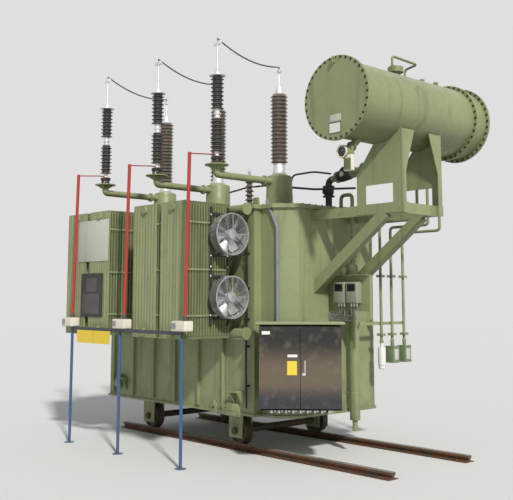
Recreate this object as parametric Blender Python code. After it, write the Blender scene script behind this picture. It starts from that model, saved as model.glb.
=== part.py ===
"""Power transformer with radiators, conservator, bushings and control cabinet.

All lengths are in metres, +Z is up and the ground is Z = 0. The model is laid out in a
working frame whose X axis runs along the rails, with Y = 0 midway between the rails,
and an empty then carries all of it so that the origin is at the bottom centre.
"""
import math

import bmesh
import bpy
from mathutils import Matrix, Vector

# General
GAP = 0.0003               # clearance between pieces that touch
ROUND = 24                 # sides of a large round piece
ROUND_MIDDLE = 16          # sides of a turret, a wheel or a duct
ROUND_SHED = 12            # sides of a bushing's sheds
ROUND_SMALL = 10           # sides of an arrester or a pipe
ROUND_HEADER = 6           # sides of a header inside a radiator
ROUND_STUB = 8             # sides of a pipe stub or a gland
SMOOTH_ANGLE = 35          # degrees, below which neighbouring faces are shaded round

# Rails and wheels
RAIL_GAUGE = 1.505         # centre to centre
RAIL_HEIGHT = 0.085
RAIL_HEAD = 0.075
RAIL_HEAD_DEPTH = 0.030
RAIL_WEB = 0.032
RAIL_FOOT = 0.180
RAIL_FOOT_DEPTH = 0.014
RAIL_START = -3.50
RAIL_END = 1.85
WHEEL_RADIUS = 0.17
WHEEL_WIDTH = 0.10
FLANGE_RADIUS = 0.195
FLANGE_WIDTH = 0.022
AXLE_RADIUS = 0.045
WHEEL_X = (-2.75, -0.75)
CHEEK_THICKNESS = 0.025
CHEEK_WIDTH = 0.26
CHEEK_CLEARANCE = 0.012

# Tank
TANK_BOTTOM = 0.52
TANK_TOP = 3.21
TANK_X_MIN = -3.45
TANK_X_MAX = 0.36
TANK_HALF_WIDTH = 1.08
STEP_X = -0.11            # where the long wall steps in beside the cabinet
STEP_DEPTH = 0.123
CHAMFER = 0.225
TANK_WALL = 0.012
TANK_FLOOR = 0.030
TANK_FLANGE_WIDTH = 0.045
TANK_FLANGE_DEPTH = 0.025
COVER_THICKNESS = 0.028
RIB_DEPTH = 0.045
RIB_THICKNESS = 0.016
RIB_FOOT = 0.06            # height of a rib's start above the tank bottom
RIB_X = (-3.30, -2.78, -2.26, -1.74, -1.22, -0.70)
END_RIB_Y = (-0.45, 0.0, 0.45)

# Radiators
PANEL_WIDTH = 0.52
PANEL_HEIGHT = 1.74
PANEL_THICKNESS = 0.011
PANEL_BOTTOM = 1.51
PANEL_PITCH = 0.045
PANEL_COUNT = 17
PANEL_FACE_Y = -2.02       # outer face of the outermost panel
PANEL_FLUTES = 8
FLUTE_DEPTH = 0.009
FLUTE_SHOULDER = 0.22      # share of a flute that each of its slopes takes
BANK_START_X = (-3.225, -1.497)
RADIATOR_PITCH = 0.61
HEADER_RADIUS = 0.045
HEADER_TOP_INSET = 0.075   # header centre below a panel's top
HEADER_FOOT_INSET = 0.060  # header centre above a panel's foot
COLLECTOR_RADIUS = 0.062
COLLECTOR_Y = -1.205
COLLECTOR_END = 0.245      # how far they pass the near one, beside the fans
COLLECTOR_PAST = 0.04      # how far the collectors pass the far radiator
COLLECTOR_FLANGE = 0.080
COLLECTOR_FLANGE_DEPTH = 0.022
STUB_RADIUS = 0.040        # of the pipes from the collectors to the tank
STUB_DROP = (0.0, 0.035)   # of the lower and upper stubs below their collectors

# Fans
FAN_RADIUS = 0.252
FAN_LIP = 0.275
FAN_DUCT_DEPTH = 0.16
FAN_WALL = 0.008
FAN_X = -0.14              # outlet plane
FAN_Y = -1.415
FAN_SHARE = (0.7615, 0.2989)   # heights of the fans as shares of a panel
FAN_Z = tuple(PANEL_BOTTOM + PANEL_HEIGHT * share for share in FAN_SHARE)
FAN_CLEARANCE = 0.014
FAN_HUB_RADIUS = 0.060
FAN_HUB_DEPTH = 0.05
FAN_BLADES = 7
FAN_BLADE_THICKNESS = 0.006
FAN_MOTOR_RADIUS = 0.072
FAN_MOTOR_DEPTH = 0.075
FAN_STRUT = 0.006
FAN_RUNNING = 0.006        # between the rotor and the motor
FAN_SHAFT_RADIUS = 0.012
FAN_SHAFT_LENGTH = 0.030
FAN_BLADE_CHORD = 0.13     # at the tip
FAN_BLADE_ROOT = 0.06      # chord at the hub
FAN_BLADE_TWIST = 35       # degrees from the plane of the duct
FAN_BLADE_SINK = 0.010     # of a blade's root into the hub
FAN_BORE_PAST = 0.002      # of the bore past the shaft's end
PIN_CLEARANCE = 0.0009     # of a shaft or hinge pin in its bore
FAN_BAR = 0.006
FAN_BAR_WIDTH = 0.040
FAN_BAR_Y = (-1.60, -1.32)
FAN_BAR_RISE = 0.262
FAN_BAR_END = 0.10         # of an upright past the outer crossbars

# Control cabinet, turned 45 degrees on the chamfered tank corner
CABINET_WIDTH = 1.00
CABINET_DEPTH = 0.40
CABINET_HEIGHT = 1.02
CABINET_BOTTOM = 0.675
CABINET_STANDOFF = 0.06    # from the chamfer to the back of the cabinet
CABINET_SHIFT = 0.166      # sideways from the middle of the chamfer
CABINET_WALL = 0.003
ROOF_OVERHANG = 0.050
ROOF_THICKNESS = 0.035
DOOR_THICKNESS = 0.022
DOOR_SKIN = 0.003
DOOR_CLEARANCE = 0.010     # between the cabinet's front edge and the doors
DOOR_SEAM = 0.006
DOOR_BORDER = 0.020        # of the cabinet above and below the doors
HINGE_PIN = 0.005
HINGE_PIN_LENGTH = 0.020
HINGE_INSET = 0.011        # from a door's outer corner to its hinge axis
HINGE_RUNNING = 0.001      # between a door and its hinge lugs
HINGE_LUG = 0.008
HANDLE_LENGTH = 0.16
HANDLE_WIDTH = 0.032
HANDLE_DEPTH = 0.030
GLAND_COUNT = 9
GLAND_RADIUS = 0.018
GLAND_LENGTH = 0.055
CABINET_BRACKET = 0.05

# High-voltage bushings and their turrets
PHASE_X = (-0.246, -1.562, -2.886)
BUSHING_Y = -0.49
TURRET_RADIUS = 0.20
TURRET_TOP_RADIUS = 0.175
TURRET_HEIGHT = 0.47
TURRET_RIM = 0.03
TURRET_RIM_DEPTH = 0.03
BUSHING_FLANGE_RADIUS = 0.135
SHED_START = 0.10
SHED_COUNT = 16
SHED_PITCH = 0.0656
SHED_RADIUS = 0.122
SHED_CORE = 0.085
BUSHING_CAP_HEIGHT = 0.10
BUSHING_CAP_RADIUS = 0.06
TERMINAL_RADIUS = 0.016
TERMINAL_HEIGHT = 0.24

# Surge arresters beside the radiators
ARRESTER_Y = -1.61
ARM_RADIUS = 0.055
ARM_HEIGHT = 3.60
ARM_BEND = 0.10
DISC_RADIUS = 0.190
DISC_THICKNESS = 0.014
DISC_Z = 3.715
ARRESTER_FOOT = 0.185
ARRESTER_SHEDS = 8
ARRESTER_UNIT = 0.45
ARRESTER_JOINT = 0.14
ARRESTER_RADIUS = 0.090
ARRESTER_CORE = 0.060
ARRESTER_METAL = 0.062
ARRESTER_ROD = 0.012
ARRESTER_ROD_HEIGHT = 0.42
JUMPER_RADIUS = 0.011
JUMPER_SAG = 0.10
JUMPER_RISE = 0.03          # upright ends on the rod and on the terminal

# Neutral bushing and its arrester
NEUTRAL_X = -0.85
NEUTRAL_Y = -0.50
NEUTRAL_ARRESTER_X = -2.00
NEUTRAL_ARRESTER_Y = -0.20

# Conservator
CONSERVATOR_X = 1.467
CONSERVATOR_Z = 4.37
CONSERVATOR_START = -1.20
CONSERVATOR_END = 1.27
CONSERVATOR_RADIUS = 0.462
CONSERVATOR_WALL = 0.006
CONSERVATOR_LIP = 0.510
CONSERVATOR_LIP_DEPTH = 0.020
CAP_THICKNESS = 0.018

# Conservator supports
SUPPORT_Y = (-0.45, 0.34)
BEAM_TOP = 3.165
BEAM_DEPTH = 0.13
BEAM_WIDTH = 0.09
BEAM_END = 1.85
POST_X = (1.19, 1.76)
POST_WIDTH = 0.14
POST_THICKNESS = 0.012
SADDLE_BASE_Z = 3.55
BRACE_FOOT_Z = 2.165
BRACE_HEAD_X = 1.548
BRACE_WIDTH = 0.14
SADDLE_FLANGE_TOP = 0.25
SADDLE_FLANGE_FOOT = 0.07

# Oil pipe with its relay, between the cover and the conservator
OIL_PIPE_RADIUS = 0.045
OIL_RISER = 0.385          # height of the upright start of the pipe
OIL_KNEE_X = 1.04
OIL_DROP = 0.16            # of the upper run below the conservator
OIL_BEND = 0.10
OIL_PIPE_Y = 0.0
RELAY_RADIUS = 0.085
RELAY_LENGTH = 0.24
RELAY_SHARE = 0.38         # place of the relay along the slanted run
RELAY_FLANGE_GAP = 0.03
OIL_FLANGE_RADIUS = 0.085
OIL_FLANGE_DEPTH = 0.022

# Level gauge under the conservator, beside its near end plate
GAUGE_X = 1.467
GAUGE_Y = (-0.84, -1.00)   # the neck's upper and lower end
GAUGE_NECK_Z = 3.77        # lower end of the neck
GAUGE_NECK_RADIUS = 0.048
GAUGE_Z = 3.735            # centre of the dial
GAUGE_RADIUS = 0.085
GAUGE_FACE_Y = -1.13
GAUGE_DEPTH = 0.07
GAUGE_BODY_RADIUS = 0.055
GAUGE_BOX_X = 1.53         # centre of the switch box beside the dial
GAUGE_BOX_Z = 3.625
GAUGE_BOX_SIZE = 0.13
GAUGE_BOX_DEPTH = 0.06

# Pipes at the tank's end
RELIEF_X = 0.50
RELIEF_Y = 0.163
RELIEF_RADIUS = 0.068
RELIEF_BOTTOM = 0.43
RELIEF_TOP = 2.47
RELIEF_THIN_RADIUS = 0.026
BREATHER_X = 0.66
BREATHER_Y = (0.54, 0.77, 1.03)
BREATHER_PIPE_RADIUS = 0.020
BREATHER_TOP = 3.05
BREATHER_BODY_TOP = 1.375
BREATHER_HEIGHT = 0.30
BREATHER_RADIUS = 0.052
HOLDER_ARM_Y = 0.60
HOLDER_START_Y = 0.13
HOLDER_RISE = 0.305        # above the breathers' bodies
HOLDER_WIDTH = 0.050
HOLDER_DEPTH = 0.030
HOLDER_HEIGHT = 0.040

# Instruments at the tank's end, on a plate that stands out from the wall
HOOD_END_X = 1.05
HOOD_Y = -0.147            # back of the plate
HOOD_THICKNESS = 0.006
HOOD_Z = (1.856, 2.31)
HOOD_CANOPY_DEPTH = 0.08
HOOD_CANOPY_THICKNESS = 0.008
HOOD_FLANGE = 0.035
HOOD_POST_FOOT = 1.75
INSTRUMENT_X = (0.5175, 0.7316)
INSTRUMENT_BOTTOM = 1.953
INSTRUMENT_WIDTH = 0.188
INSTRUMENT_HEIGHT = 0.275
INSTRUMENT_DEPTH = 0.106

# Board for the rating plates on the left radiators
BOARD_X = (-2.79, -2.23)
BOARD_Z = (1.76, 2.37)
BOARD_THICKNESS = 0.010

# Conduit from the cover into the cabinet
CONDUIT_RADIUS = 0.022
CONDUIT_OUT = 0.085

# Rack of surge counters
RACK_Y = -2.14
RACK_POST_X = (-2.83, -1.60, -0.25)
RACK_POST_RADIUS = 0.020
RACK_TOP = 1.615
RACK_BAR = 0.045
RACK_FOOT = 0.07
COUNTER_WIDTH = 0.28
COUNTER_HEIGHT = 0.13
COUNTER_DEPTH = 0.14
LEAD_RADIUS = 0.017
LEAD_TOP = 3.815
LEAD_ROD_RADIUS = 0.008

JUMPER_STEPS = 10
CONSERVATOR_JOINT = 0.99
VENT_Y = -0.05
VENT_RISE = 0.06
VENT_REACH = 0.30
SADDLE_CONTACT = 0.07      # how far the saddle reaches past the conservator's lowest line
SADDLE_TIP = 4.062
WINDOW_HEIGHT = 0.235
OIL_BASE_X = 0.22
OIL_TOP_X = 1.25
RELIEF_ARCH = 3.42
RELIEF_INLET_X = 0.30
BREATHER_INLET_X = 1.30

# The working frame's bottom centre, which becomes the origin
CENTRE_X = (RAIL_START + CONSERVATOR_X + CONSERVATOR_LIP) / 2
CENTRE_Y = (RACK_Y - RACK_FOOT + CONSERVATOR_END + CAP_THICKNESS) / 2

ROOT_NAME = "transformer_origin"


def clear_scene():
    """Remove every object that the file opened with."""
    for existing in list(bpy.data.objects):
        bpy.data.objects.remove(existing, do_unlink=True)


def paint(name, colour, roughness, metallic=0.0):
    """Make a plain Principled material."""
    material = bpy.data.materials.new(name)
    material.use_nodes = True
    shader = material.node_tree.nodes["Principled BSDF"]
    shader.inputs["Base Color"].default_value = (*colour, 1.0)
    shader.inputs["Roughness"].default_value = roughness
    shader.inputs["Metallic"].default_value = metallic
    return material


def mesh_object(name, bm):
    """Turn a bmesh into a linked object with its normals facing out."""
    bmesh.ops.recalc_face_normals(bm, faces=bm.faces)
    mesh = bpy.data.meshes.new(name)
    bm.to_mesh(mesh)
    bm.free()
    made = bpy.data.objects.new(name, mesh)
    bpy.context.collection.objects.link(made)
    return made


def prism(name, outline, low, high, axis="Z"):
    """Extrude a flat outline between two heights.

    The outline holds (x, y) pairs for axis Z, (x, z) for axis Y and (y, z) for axis X.
    """
    placed = {
        "Z": lambda a, b, h: (a, b, h),
        "Y": lambda a, b, h: (a, h, b),
        "X": lambda a, b, h: (h, a, b),
    }[axis]
    bm = bmesh.new()
    ring = [bm.verts.new(placed(a, b, low)) for a, b in outline]
    face = bm.faces.new(ring)
    grown = bmesh.ops.extrude_face_region(bm, geom=[face])
    moved = [item for item in grown["geom"] if isinstance(item, bmesh.types.BMVert)]
    bmesh.ops.translate(bm, verts=moved, vec=placed(0.0, 0.0, high - low))
    return mesh_object(name, bm)


def box(name, low, high):
    """Make a box between two corners."""
    outline = [(low[0], low[1]), (high[0], low[1]), (high[0], high[1]), (low[0], high[1])]
    return prism(name, outline, low[2], high[2])


def turned(name, profile, centre, axis="Z", sides=ROUND):
    """Spin a profile of (radius, height) pairs about an axis through a centre.

    The profile starts and ends on the axis, so that the body is closed.
    """
    bm = bmesh.new()
    points = [bm.verts.new((radius, 0.0, height)) for radius, height in profile]
    edges = [bm.edges.new(pair) for pair in zip(points, points[1:])]
    bmesh.ops.spin(
        bm,
        geom=points + edges,
        axis=(0.0, 0.0, 1.0),
        cent=(0.0, 0.0, 0.0),
        angle=math.tau,
        steps=sides,
        use_merge=True,
    )
    bmesh.ops.remove_doubles(bm, verts=bm.verts, dist=0.00001)
    turn = {
        "Z": Matrix.Identity(4),
        "Y": Matrix.Rotation(-math.pi / 2, 4, "X"),
        "X": Matrix.Rotation(math.pi / 2, 4, "Y"),
    }[axis]
    bmesh.ops.transform(bm, matrix=Matrix.Translation(centre) @ turn, verts=bm.verts)
    return mesh_object(name, bm)


def cylinder(name, radius, start, length, axis="Z", sides=ROUND):
    """Make a round bar that starts at a point and runs along an axis."""
    profile = [(0.0, 0.0), (radius, 0.0), (radius, length), (0.0, length)]
    return turned(name, profile, start, axis, sides)


def smooth_route(points, bend, steps=6):
    """Round the inner corners of a route with arcs of a given reach."""
    route = [Vector(points[0])]
    for before, corner, after in zip(points, points[1:], points[2:]):
        corner = Vector(corner)
        into = (Vector(before) - corner).normalized()
        out = (Vector(after) - corner).normalized()
        first = corner + into * bend
        last = corner + out * bend
        for step in range(steps + 1):
            share = step / steps
            low = first.lerp(corner, share)
            high = corner.lerp(last, share)
            route.append(low.lerp(high, share))
    route.append(Vector(points[-1]))
    return route


def pipe(name, points, radius, resolution=3):
    """Sweep a closed round section along a route and return it as a mesh object."""
    curve = bpy.data.curves.new(name + "_route", "CURVE")
    curve.dimensions = "3D"
    curve.bevel_depth = radius
    curve.bevel_resolution = resolution
    curve.use_fill_caps = True
    spline = curve.splines.new("POLY")
    spline.points.add(len(points) - 1)
    for point, place in zip(spline.points, points):
        point.co = (*place, 1.0)
    guide = bpy.data.objects.new(name + "_route", curve)
    bpy.context.collection.objects.link(guide)
    bpy.context.view_layer.update()
    graph = bpy.context.evaluated_depsgraph_get()
    mesh = bpy.data.meshes.new_from_object(guide.evaluated_get(graph))
    bpy.data.objects.remove(guide, do_unlink=True)
    bm = bmesh.new()
    bm.from_mesh(mesh)
    bmesh.ops.remove_doubles(bm, verts=bm.verts, dist=0.00001)
    bpy.data.meshes.remove(mesh)
    return mesh_object(name, bm)


def join_shapes(name, shapes):
    """Put several shapes that don't touch into one mesh."""
    bm = bmesh.new()
    for shape in shapes:
        bm.from_mesh(shape.data)
        bpy.data.objects.remove(shape, do_unlink=True)
    return mesh_object(name, bm)


def combine(target, other, operation):
    """Join a shape to a body, or cut it away, with an exact Boolean."""
    modifier = target.modifiers.new(other.name, "BOOLEAN")
    modifier.operation = operation
    modifier.solver = "EXACT"
    modifier.object = other
    other.hide_render = True
    other.display_type = "WIRE"


def fuse(target, *others):
    """Join shapes to a body."""
    for other in others:
        combine(target, other, "UNION")
    return target


def cut(target, *others):
    """Cut shapes out of a body."""
    for other in others:
        combine(target, other, "DIFFERENCE")
    return target


def hang(body, holder):
    """Hang a body on an empty, with every shape that its Booleans use."""
    body.parent = holder
    for modifier in body.modifiers:
        hang(modifier.object, holder)


def finish(body, material, smooth=True, parent=None):
    """Hang a body and its cutters on an empty, paint it and shade its round faces."""
    hang(body, parent or bpy.data.objects[ROOT_NAME])
    body.data.materials.append(material)
    if smooth:
        body.data.shade_smooth()
        body.data.set_sharp_from_angle(angle=math.radians(SMOOTH_ANGLE))
    return body


def offset_outline(outline, distance):
    """Move the sides of an anticlockwise outline outwards and mitre its corners."""
    moved = []
    count = len(outline)
    for index, corner in enumerate(outline):
        before = Vector(outline[index - 1])
        here = Vector(corner)
        after = Vector(outline[(index + 1) % count])
        first = (here - before).normalized()
        second = (after - here).normalized()
        normal_one = Vector((first.y, -first.x))
        normal_two = Vector((second.y, -second.x))
        bisector = (normal_one + normal_two).normalized()
        reach = distance / bisector.dot(normal_one)
        moved.append(tuple(here + bisector * reach))
    return moved


def tank_outline():
    """Plan of the tank, anticlockwise from its far left corner."""
    step_y = -TANK_HALF_WIDTH + STEP_DEPTH
    return [
        (TANK_X_MIN, -TANK_HALF_WIDTH),
        (STEP_X, -TANK_HALF_WIDTH),
        (STEP_X, step_y),
        (TANK_X_MAX - CHAMFER, step_y),
        (TANK_X_MAX, step_y + CHAMFER),
        (TANK_X_MAX, -step_y - CHAMFER),
        (TANK_X_MAX - CHAMFER, -step_y),
        (STEP_X, -step_y),
        (STEP_X, TANK_HALF_WIDTH),
        (TANK_X_MIN, TANK_HALF_WIDTH),
    ]


def build_rails(steel):
    """Two lengths of squat rail with head, web and foot."""
    foot = RAIL_FOOT / 2
    web = RAIL_WEB / 2
    head = RAIL_HEAD / 2
    shoulder = RAIL_HEIGHT - RAIL_HEAD_DEPTH
    profile = [
        (-foot, 0.0), (foot, 0.0), (foot, RAIL_FOOT_DEPTH * 0.6), (web, RAIL_FOOT_DEPTH * 1.4),
        (web, shoulder - 0.008), (head, shoulder), (head * 0.94, RAIL_HEIGHT),
        (-head * 0.94, RAIL_HEIGHT), (-head, shoulder), (-web, shoulder - 0.008),
        (-web, RAIL_FOOT_DEPTH * 1.4), (-foot, RAIL_FOOT_DEPTH * 0.6),
    ]
    for name, side in (("rail_near", -1), ("rail_far", 1)):
        centre = side * RAIL_GAUGE / 2
        outline = [(y + centre, z) for y, z in profile]
        finish(prism(name, outline, RAIL_START, RAIL_END, "X"), steel)


def wheel_height():
    """Height of the wheel axles."""
    return RAIL_HEIGHT + GAP + WHEEL_RADIUS


def build_wheelsets(steel):
    """Two axles, each turned in one piece with its pair of flanged wheels."""
    centre = RAIL_GAUGE / 2
    outer = centre + WHEEL_WIDTH / 2
    inner = centre - WHEEL_WIDTH / 2
    flange = inner - FLANGE_WIDTH
    end = outer + CHEEK_CLEARANCE + CHEEK_THICKNESS + 0.03
    half = [
        (AXLE_RADIUS, flange), (FLANGE_RADIUS, flange), (FLANGE_RADIUS - 0.006, inner),
        (WHEEL_RADIUS, inner), (WHEEL_RADIUS, outer), (AXLE_RADIUS, outer), (AXLE_RADIUS, end),
        (0.0, end),
    ]
    profile = [(radius, -y) for radius, y in reversed(half)] + half
    for index, x in enumerate(WHEEL_X, start=1):
        place = (x, 0.0, wheel_height())
        finish(turned(f"wheelset_{index}", profile, place, "Y", ROUND_MIDDLE), steel)


def build_tank_floor(green):
    """Floor plate with the cheek plates that hang it on the axles."""
    z_top = TANK_BOTTOM + TANK_FLOOR
    floor = prism("tank_floor", offset_outline(tank_outline(), 0.02), TANK_BOTTOM, z_top)
    axle = wheel_height()
    centre = RAIL_GAUGE / 2
    cheeks = []
    for x in WHEEL_X:
        for side in (-1, 1):
            for face in (-1, 1):
                reach = WHEEL_WIDTH / 2 + CHEEK_CLEARANCE
                if face * side < 0:
                    reach += FLANGE_WIDTH
                near = side * centre + face * reach
                far = near + face * CHEEK_THICKNESS
                low = (x - CHEEK_WIDTH / 2, min(near, far), axle - 0.09)
                high = (x + CHEEK_WIDTH / 2, max(near, far), TANK_BOTTOM + TANK_FLOOR / 2)
                cheeks.append(box("cheek", low, high))
    bores = []
    span = RAIL_GAUGE + 0.6
    for x in WHEEL_X:
        start = (x, -span / 2, axle)
        bores.append(cylinder("axle_bore", AXLE_RADIUS + GAP, start, span, "Y", ROUND_MIDDLE))
    fuse(floor, join_shapes("floor_cheeks", cheeks))
    cut(floor, join_shapes("floor_bores", bores))
    finish(floor, green)


def build_tank(green):
    """Tank walls with their upper flange and upright ribs, and the cover on top."""
    outline = tank_outline()
    low = TANK_BOTTOM + TANK_FLOOR + GAP
    walls = prism("tank_walls", outline, low, TANK_TOP)
    rim = offset_outline(outline, TANK_FLANGE_WIDTH)
    fuse(walls, prism("tank_rim", rim, TANK_TOP - TANK_FLANGE_DEPTH, TANK_TOP))
    rib_low = TANK_BOTTOM + RIB_FOOT
    rib_high = TANK_TOP - TANK_FLANGE_DEPTH / 2
    ribs = []
    for x in RIB_X:
        for side in (-1, 1):
            near = side * (TANK_HALF_WIDTH - TANK_WALL / 2)
            far = side * (TANK_HALF_WIDTH + RIB_DEPTH)
            corner = (x - RIB_THICKNESS / 2, min(near, far), rib_low)
            opposite = (x + RIB_THICKNESS / 2, max(near, far), rib_high)
            ribs.append(box("rib", corner, opposite))
    for y in END_RIB_Y:
        corner = (TANK_X_MIN - RIB_DEPTH, y - RIB_THICKNESS / 2, rib_low)
        opposite = (TANK_X_MIN + TANK_WALL / 2, y + RIB_THICKNESS / 2, rib_high)
        ribs.append(box("rib", corner, opposite))
    fuse(walls, join_shapes("tank_ribs", ribs))
    hollow = offset_outline(outline, -TANK_WALL)
    cut(walls, prism("tank_hollow", hollow, low - 0.05, TANK_TOP + 0.05))
    finish(walls, green)
    cover_low = TANK_TOP + GAP
    cover = prism("tank_cover", rim, cover_low, cover_low + COVER_THICKNESS)
    finish(cover, green)


def cover_top():
    """Height of the cover's upper face, with the gap that seats what stands on it."""
    return TANK_TOP + GAP + COVER_THICKNESS + GAP


def panel_outline(x_start, fluted):
    """Plan of one radiator panel, with flutes on its outer side if asked."""
    back = PANEL_FACE_Y + PANEL_THICKNESS
    outline = [(x_start + PANEL_WIDTH, back), (x_start, back)]
    if not fluted:
        outline += [(x_start, PANEL_FACE_Y), (x_start + PANEL_WIDTH, PANEL_FACE_Y)]
        return outline
    pitch = PANEL_WIDTH / PANEL_FLUTES
    for index in range(PANEL_FLUTES):
        left = x_start + index * pitch
        outline.append((left, PANEL_FACE_Y))
        outline.append((left + pitch * FLUTE_SHOULDER, PANEL_FACE_Y - FLUTE_DEPTH))
        outline.append((left + pitch * (1 - FLUTE_SHOULDER), PANEL_FACE_Y - FLUTE_DEPTH))
    outline.append((x_start + PANEL_WIDTH, PANEL_FACE_Y))
    return outline


def header_levels():
    """Heights of the lower and upper headers."""
    return PANEL_BOTTOM + HEADER_FOOT_INSET, PANEL_BOTTOM + PANEL_HEIGHT - HEADER_TOP_INSET


def build_radiators(green):
    """Four radiators, each a stack of upright panels on two headers."""
    index = 0
    top = PANEL_BOTTOM + PANEL_HEIGHT
    end_y = COLLECTOR_Y - COLLECTOR_RADIUS - GAP
    for bank in BANK_START_X:
        for place in range(2):
            index += 1
            x = bank + place * RADIATOR_PITCH
            first = prism("radiator_%d" % index, panel_outline(x, True), PANEL_BOTTOM, top)
            panels = []
            for row in range(1, PANEL_COUNT):
                y = PANEL_FACE_Y + row * PANEL_PITCH
                corner = (x, y, PANEL_BOTTOM)
                opposite = (x + PANEL_WIDTH, y + PANEL_THICKNESS, top)
                panels.append(box("panel", corner, opposite))
            stack = join_shapes("radiator_%d_stack" % index, panels)
            middle = x + PANEL_WIDTH / 2
            start_y = PANEL_FACE_Y + PANEL_THICKNESS / 2
            headers = []
            for z in header_levels():
                start = (middle, start_y, z)
                headers.append(
                    cylinder("header", HEADER_RADIUS, start, end_y - start_y, "Y", ROUND_HEADER)
                )
            fuse(first, join_shapes("radiator_%d_headers" % index, headers))
            fuse(first, stack)
            finish(first, green)


def build_collectors(green):
    """Pipes along the tank that gather the radiators' headers, with a flange at each end."""
    left = BANK_START_X[0] - COLLECTOR_PAST
    right = BANK_START_X[1] + RADIATOR_PITCH + PANEL_WIDTH + COLLECTOR_END
    names = ("collector_bottom", "collector_top")
    for name, z, drop in zip(names, header_levels(), STUB_DROP):
        body = cylinder(name, COLLECTOR_RADIUS, (left, COLLECTOR_Y, z), right - left, "X",
                        ROUND_SHED)
        ends = []
        for x in (left - COLLECTOR_FLANGE_DEPTH / 2, right - COLLECTOR_FLANGE_DEPTH / 2):
            ends.append(
                cylinder("end", COLLECTOR_FLANGE, (x, COLLECTOR_Y, z), COLLECTOR_FLANGE_DEPTH,
                         "X", ROUND_MIDDLE)
            )
        fuse(body, join_shapes(name + "_ends", ends))
        stubs = []
        wall = -TANK_HALF_WIDTH - GAP
        for bank in BANK_START_X:
            x = bank + RADIATOR_PITCH / 2 + PANEL_WIDTH / 2
            stubs.append(
                cylinder("stub", STUB_RADIUS, (x, COLLECTOR_Y, z - drop), wall - COLLECTOR_Y,
                         "Y", ROUND_STUB)
            )
        fuse(body, join_shapes(name + "_stubs", stubs))
        finish(body, green)


def ring(name, profile, centre, axis="Z", sides=ROUND):
    """Spin a closed outline of (radius, height) pairs that stays clear of the axis."""
    bm = bmesh.new()
    points = [bm.verts.new((radius, 0.0, height)) for radius, height in profile]
    edges = [bm.edges.new(pair) for pair in zip(points, points[1:] + points[:1])]
    bmesh.ops.spin(
        bm,
        geom=points + edges,
        axis=(0.0, 0.0, 1.0),
        cent=(0.0, 0.0, 0.0),
        angle=math.tau,
        steps=sides,
        use_merge=True,
    )
    bmesh.ops.remove_doubles(bm, verts=bm.verts, dist=0.00001)
    turn = {
        "Z": Matrix.Identity(4),
        "Y": Matrix.Rotation(-math.pi / 2, 4, "X"),
        "X": Matrix.Rotation(math.pi / 2, 4, "Y"),
    }[axis]
    bmesh.ops.transform(bm, matrix=Matrix.Translation(centre) @ turn, verts=bm.verts)
    return mesh_object(name, bm)


def radiator_side():
    """Place in X of the radiators' side that the fans stand at."""
    return BANK_START_X[1] + RADIATOR_PITCH + PANEL_WIDTH


def build_fan_frame(dark):
    """Flat bars on the edges of the radiator panels that carry both fans."""
    x_low = radiator_side() + GAP
    x_high = x_low + FAN_BAR
    z_low = min(FAN_Z) - FAN_BAR_RISE - FAN_BAR_END
    z_high = max(FAN_Z) + FAN_BAR_RISE + FAN_BAR_END
    uprights = []
    for y in FAN_BAR_Y:
        low = (x_low, y - FAN_BAR_WIDTH / 2, z_low)
        high = (x_high, y + FAN_BAR_WIDTH / 2, z_high)
        uprights.append(box("upright", low, high))
    frame = uprights[0]
    frame.name = "fan_frame"
    fuse(frame, uprights[1])
    for z in FAN_Z:
        for side in (-1, 1):
            middle = z + side * FAN_BAR_RISE
            low = (x_low, FAN_BAR_Y[0], middle - FAN_BAR_WIDTH / 2)
            high = (x_high, FAN_BAR_Y[1], middle + FAN_BAR_WIDTH / 2)
            fuse(frame, box("crossbar", low, high))
    finish(frame, dark, smooth=False)


def build_fan(label, z, zinc):
    """One fan: a duct ring with the motor on its struts, and a bladed rotor."""
    lip_x = FAN_X
    back_x = FAN_X - FAN_DUCT_DEPTH
    centre = (0.0, FAN_Y, z)
    outline = [
        (FAN_RADIUS, back_x), (FAN_RADIUS + FAN_WALL, back_x),
        (FAN_RADIUS + FAN_WALL, lip_x - FAN_WALL), (FAN_LIP, lip_x - FAN_WALL),
        (FAN_LIP, lip_x), (FAN_RADIUS, lip_x),
    ]
    duct = ring(f"fan_{label}_duct", outline, centre, "X", ROUND)
    motor_x = lip_x - FAN_MOTOR_DEPTH
    motor_profile = [
        (0.0, motor_x - FAN_SHAFT_LENGTH), (FAN_SHAFT_RADIUS, motor_x - FAN_SHAFT_LENGTH),
        (FAN_SHAFT_RADIUS, motor_x), (FAN_MOTOR_RADIUS, motor_x),
        (FAN_MOTOR_RADIUS, lip_x - 0.015), (FAN_MOTOR_RADIUS - 0.015, lip_x), (0.0, lip_x),
    ]
    motor = turned(f"fan_{label}_motor", motor_profile, centre, "X", 12)
    for step in range(2):
        angle = math.pi / 2 * step
        reach = FAN_LIP - FAN_STRUT * 2
        dy = math.cos(angle) * reach
        dz = math.sin(angle) * reach
        x = lip_x - FAN_STRUT
        ends = [(x, FAN_Y - dy, z - dz), (x, FAN_Y + dy, z + dz)]
        fuse(motor, pipe(f"fan_{label}_strut_{step}", ends, FAN_STRUT, 1))
    fuse(duct, motor)
    bar_x = radiator_side() + GAP + FAN_BAR + GAP
    for side in (-1, 1):
        middle = z + side * FAN_BAR_RISE
        low = (bar_x, FAN_Y - 0.04, middle - 0.012)
        high = (back_x + 0.03, FAN_Y + 0.04, middle + 0.012)
        fuse(duct, box(f"fan_{label}_foot", low, high))
    finish(duct, zinc)
    build_fan_rotor(label, z, motor_x, zinc)


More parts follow.
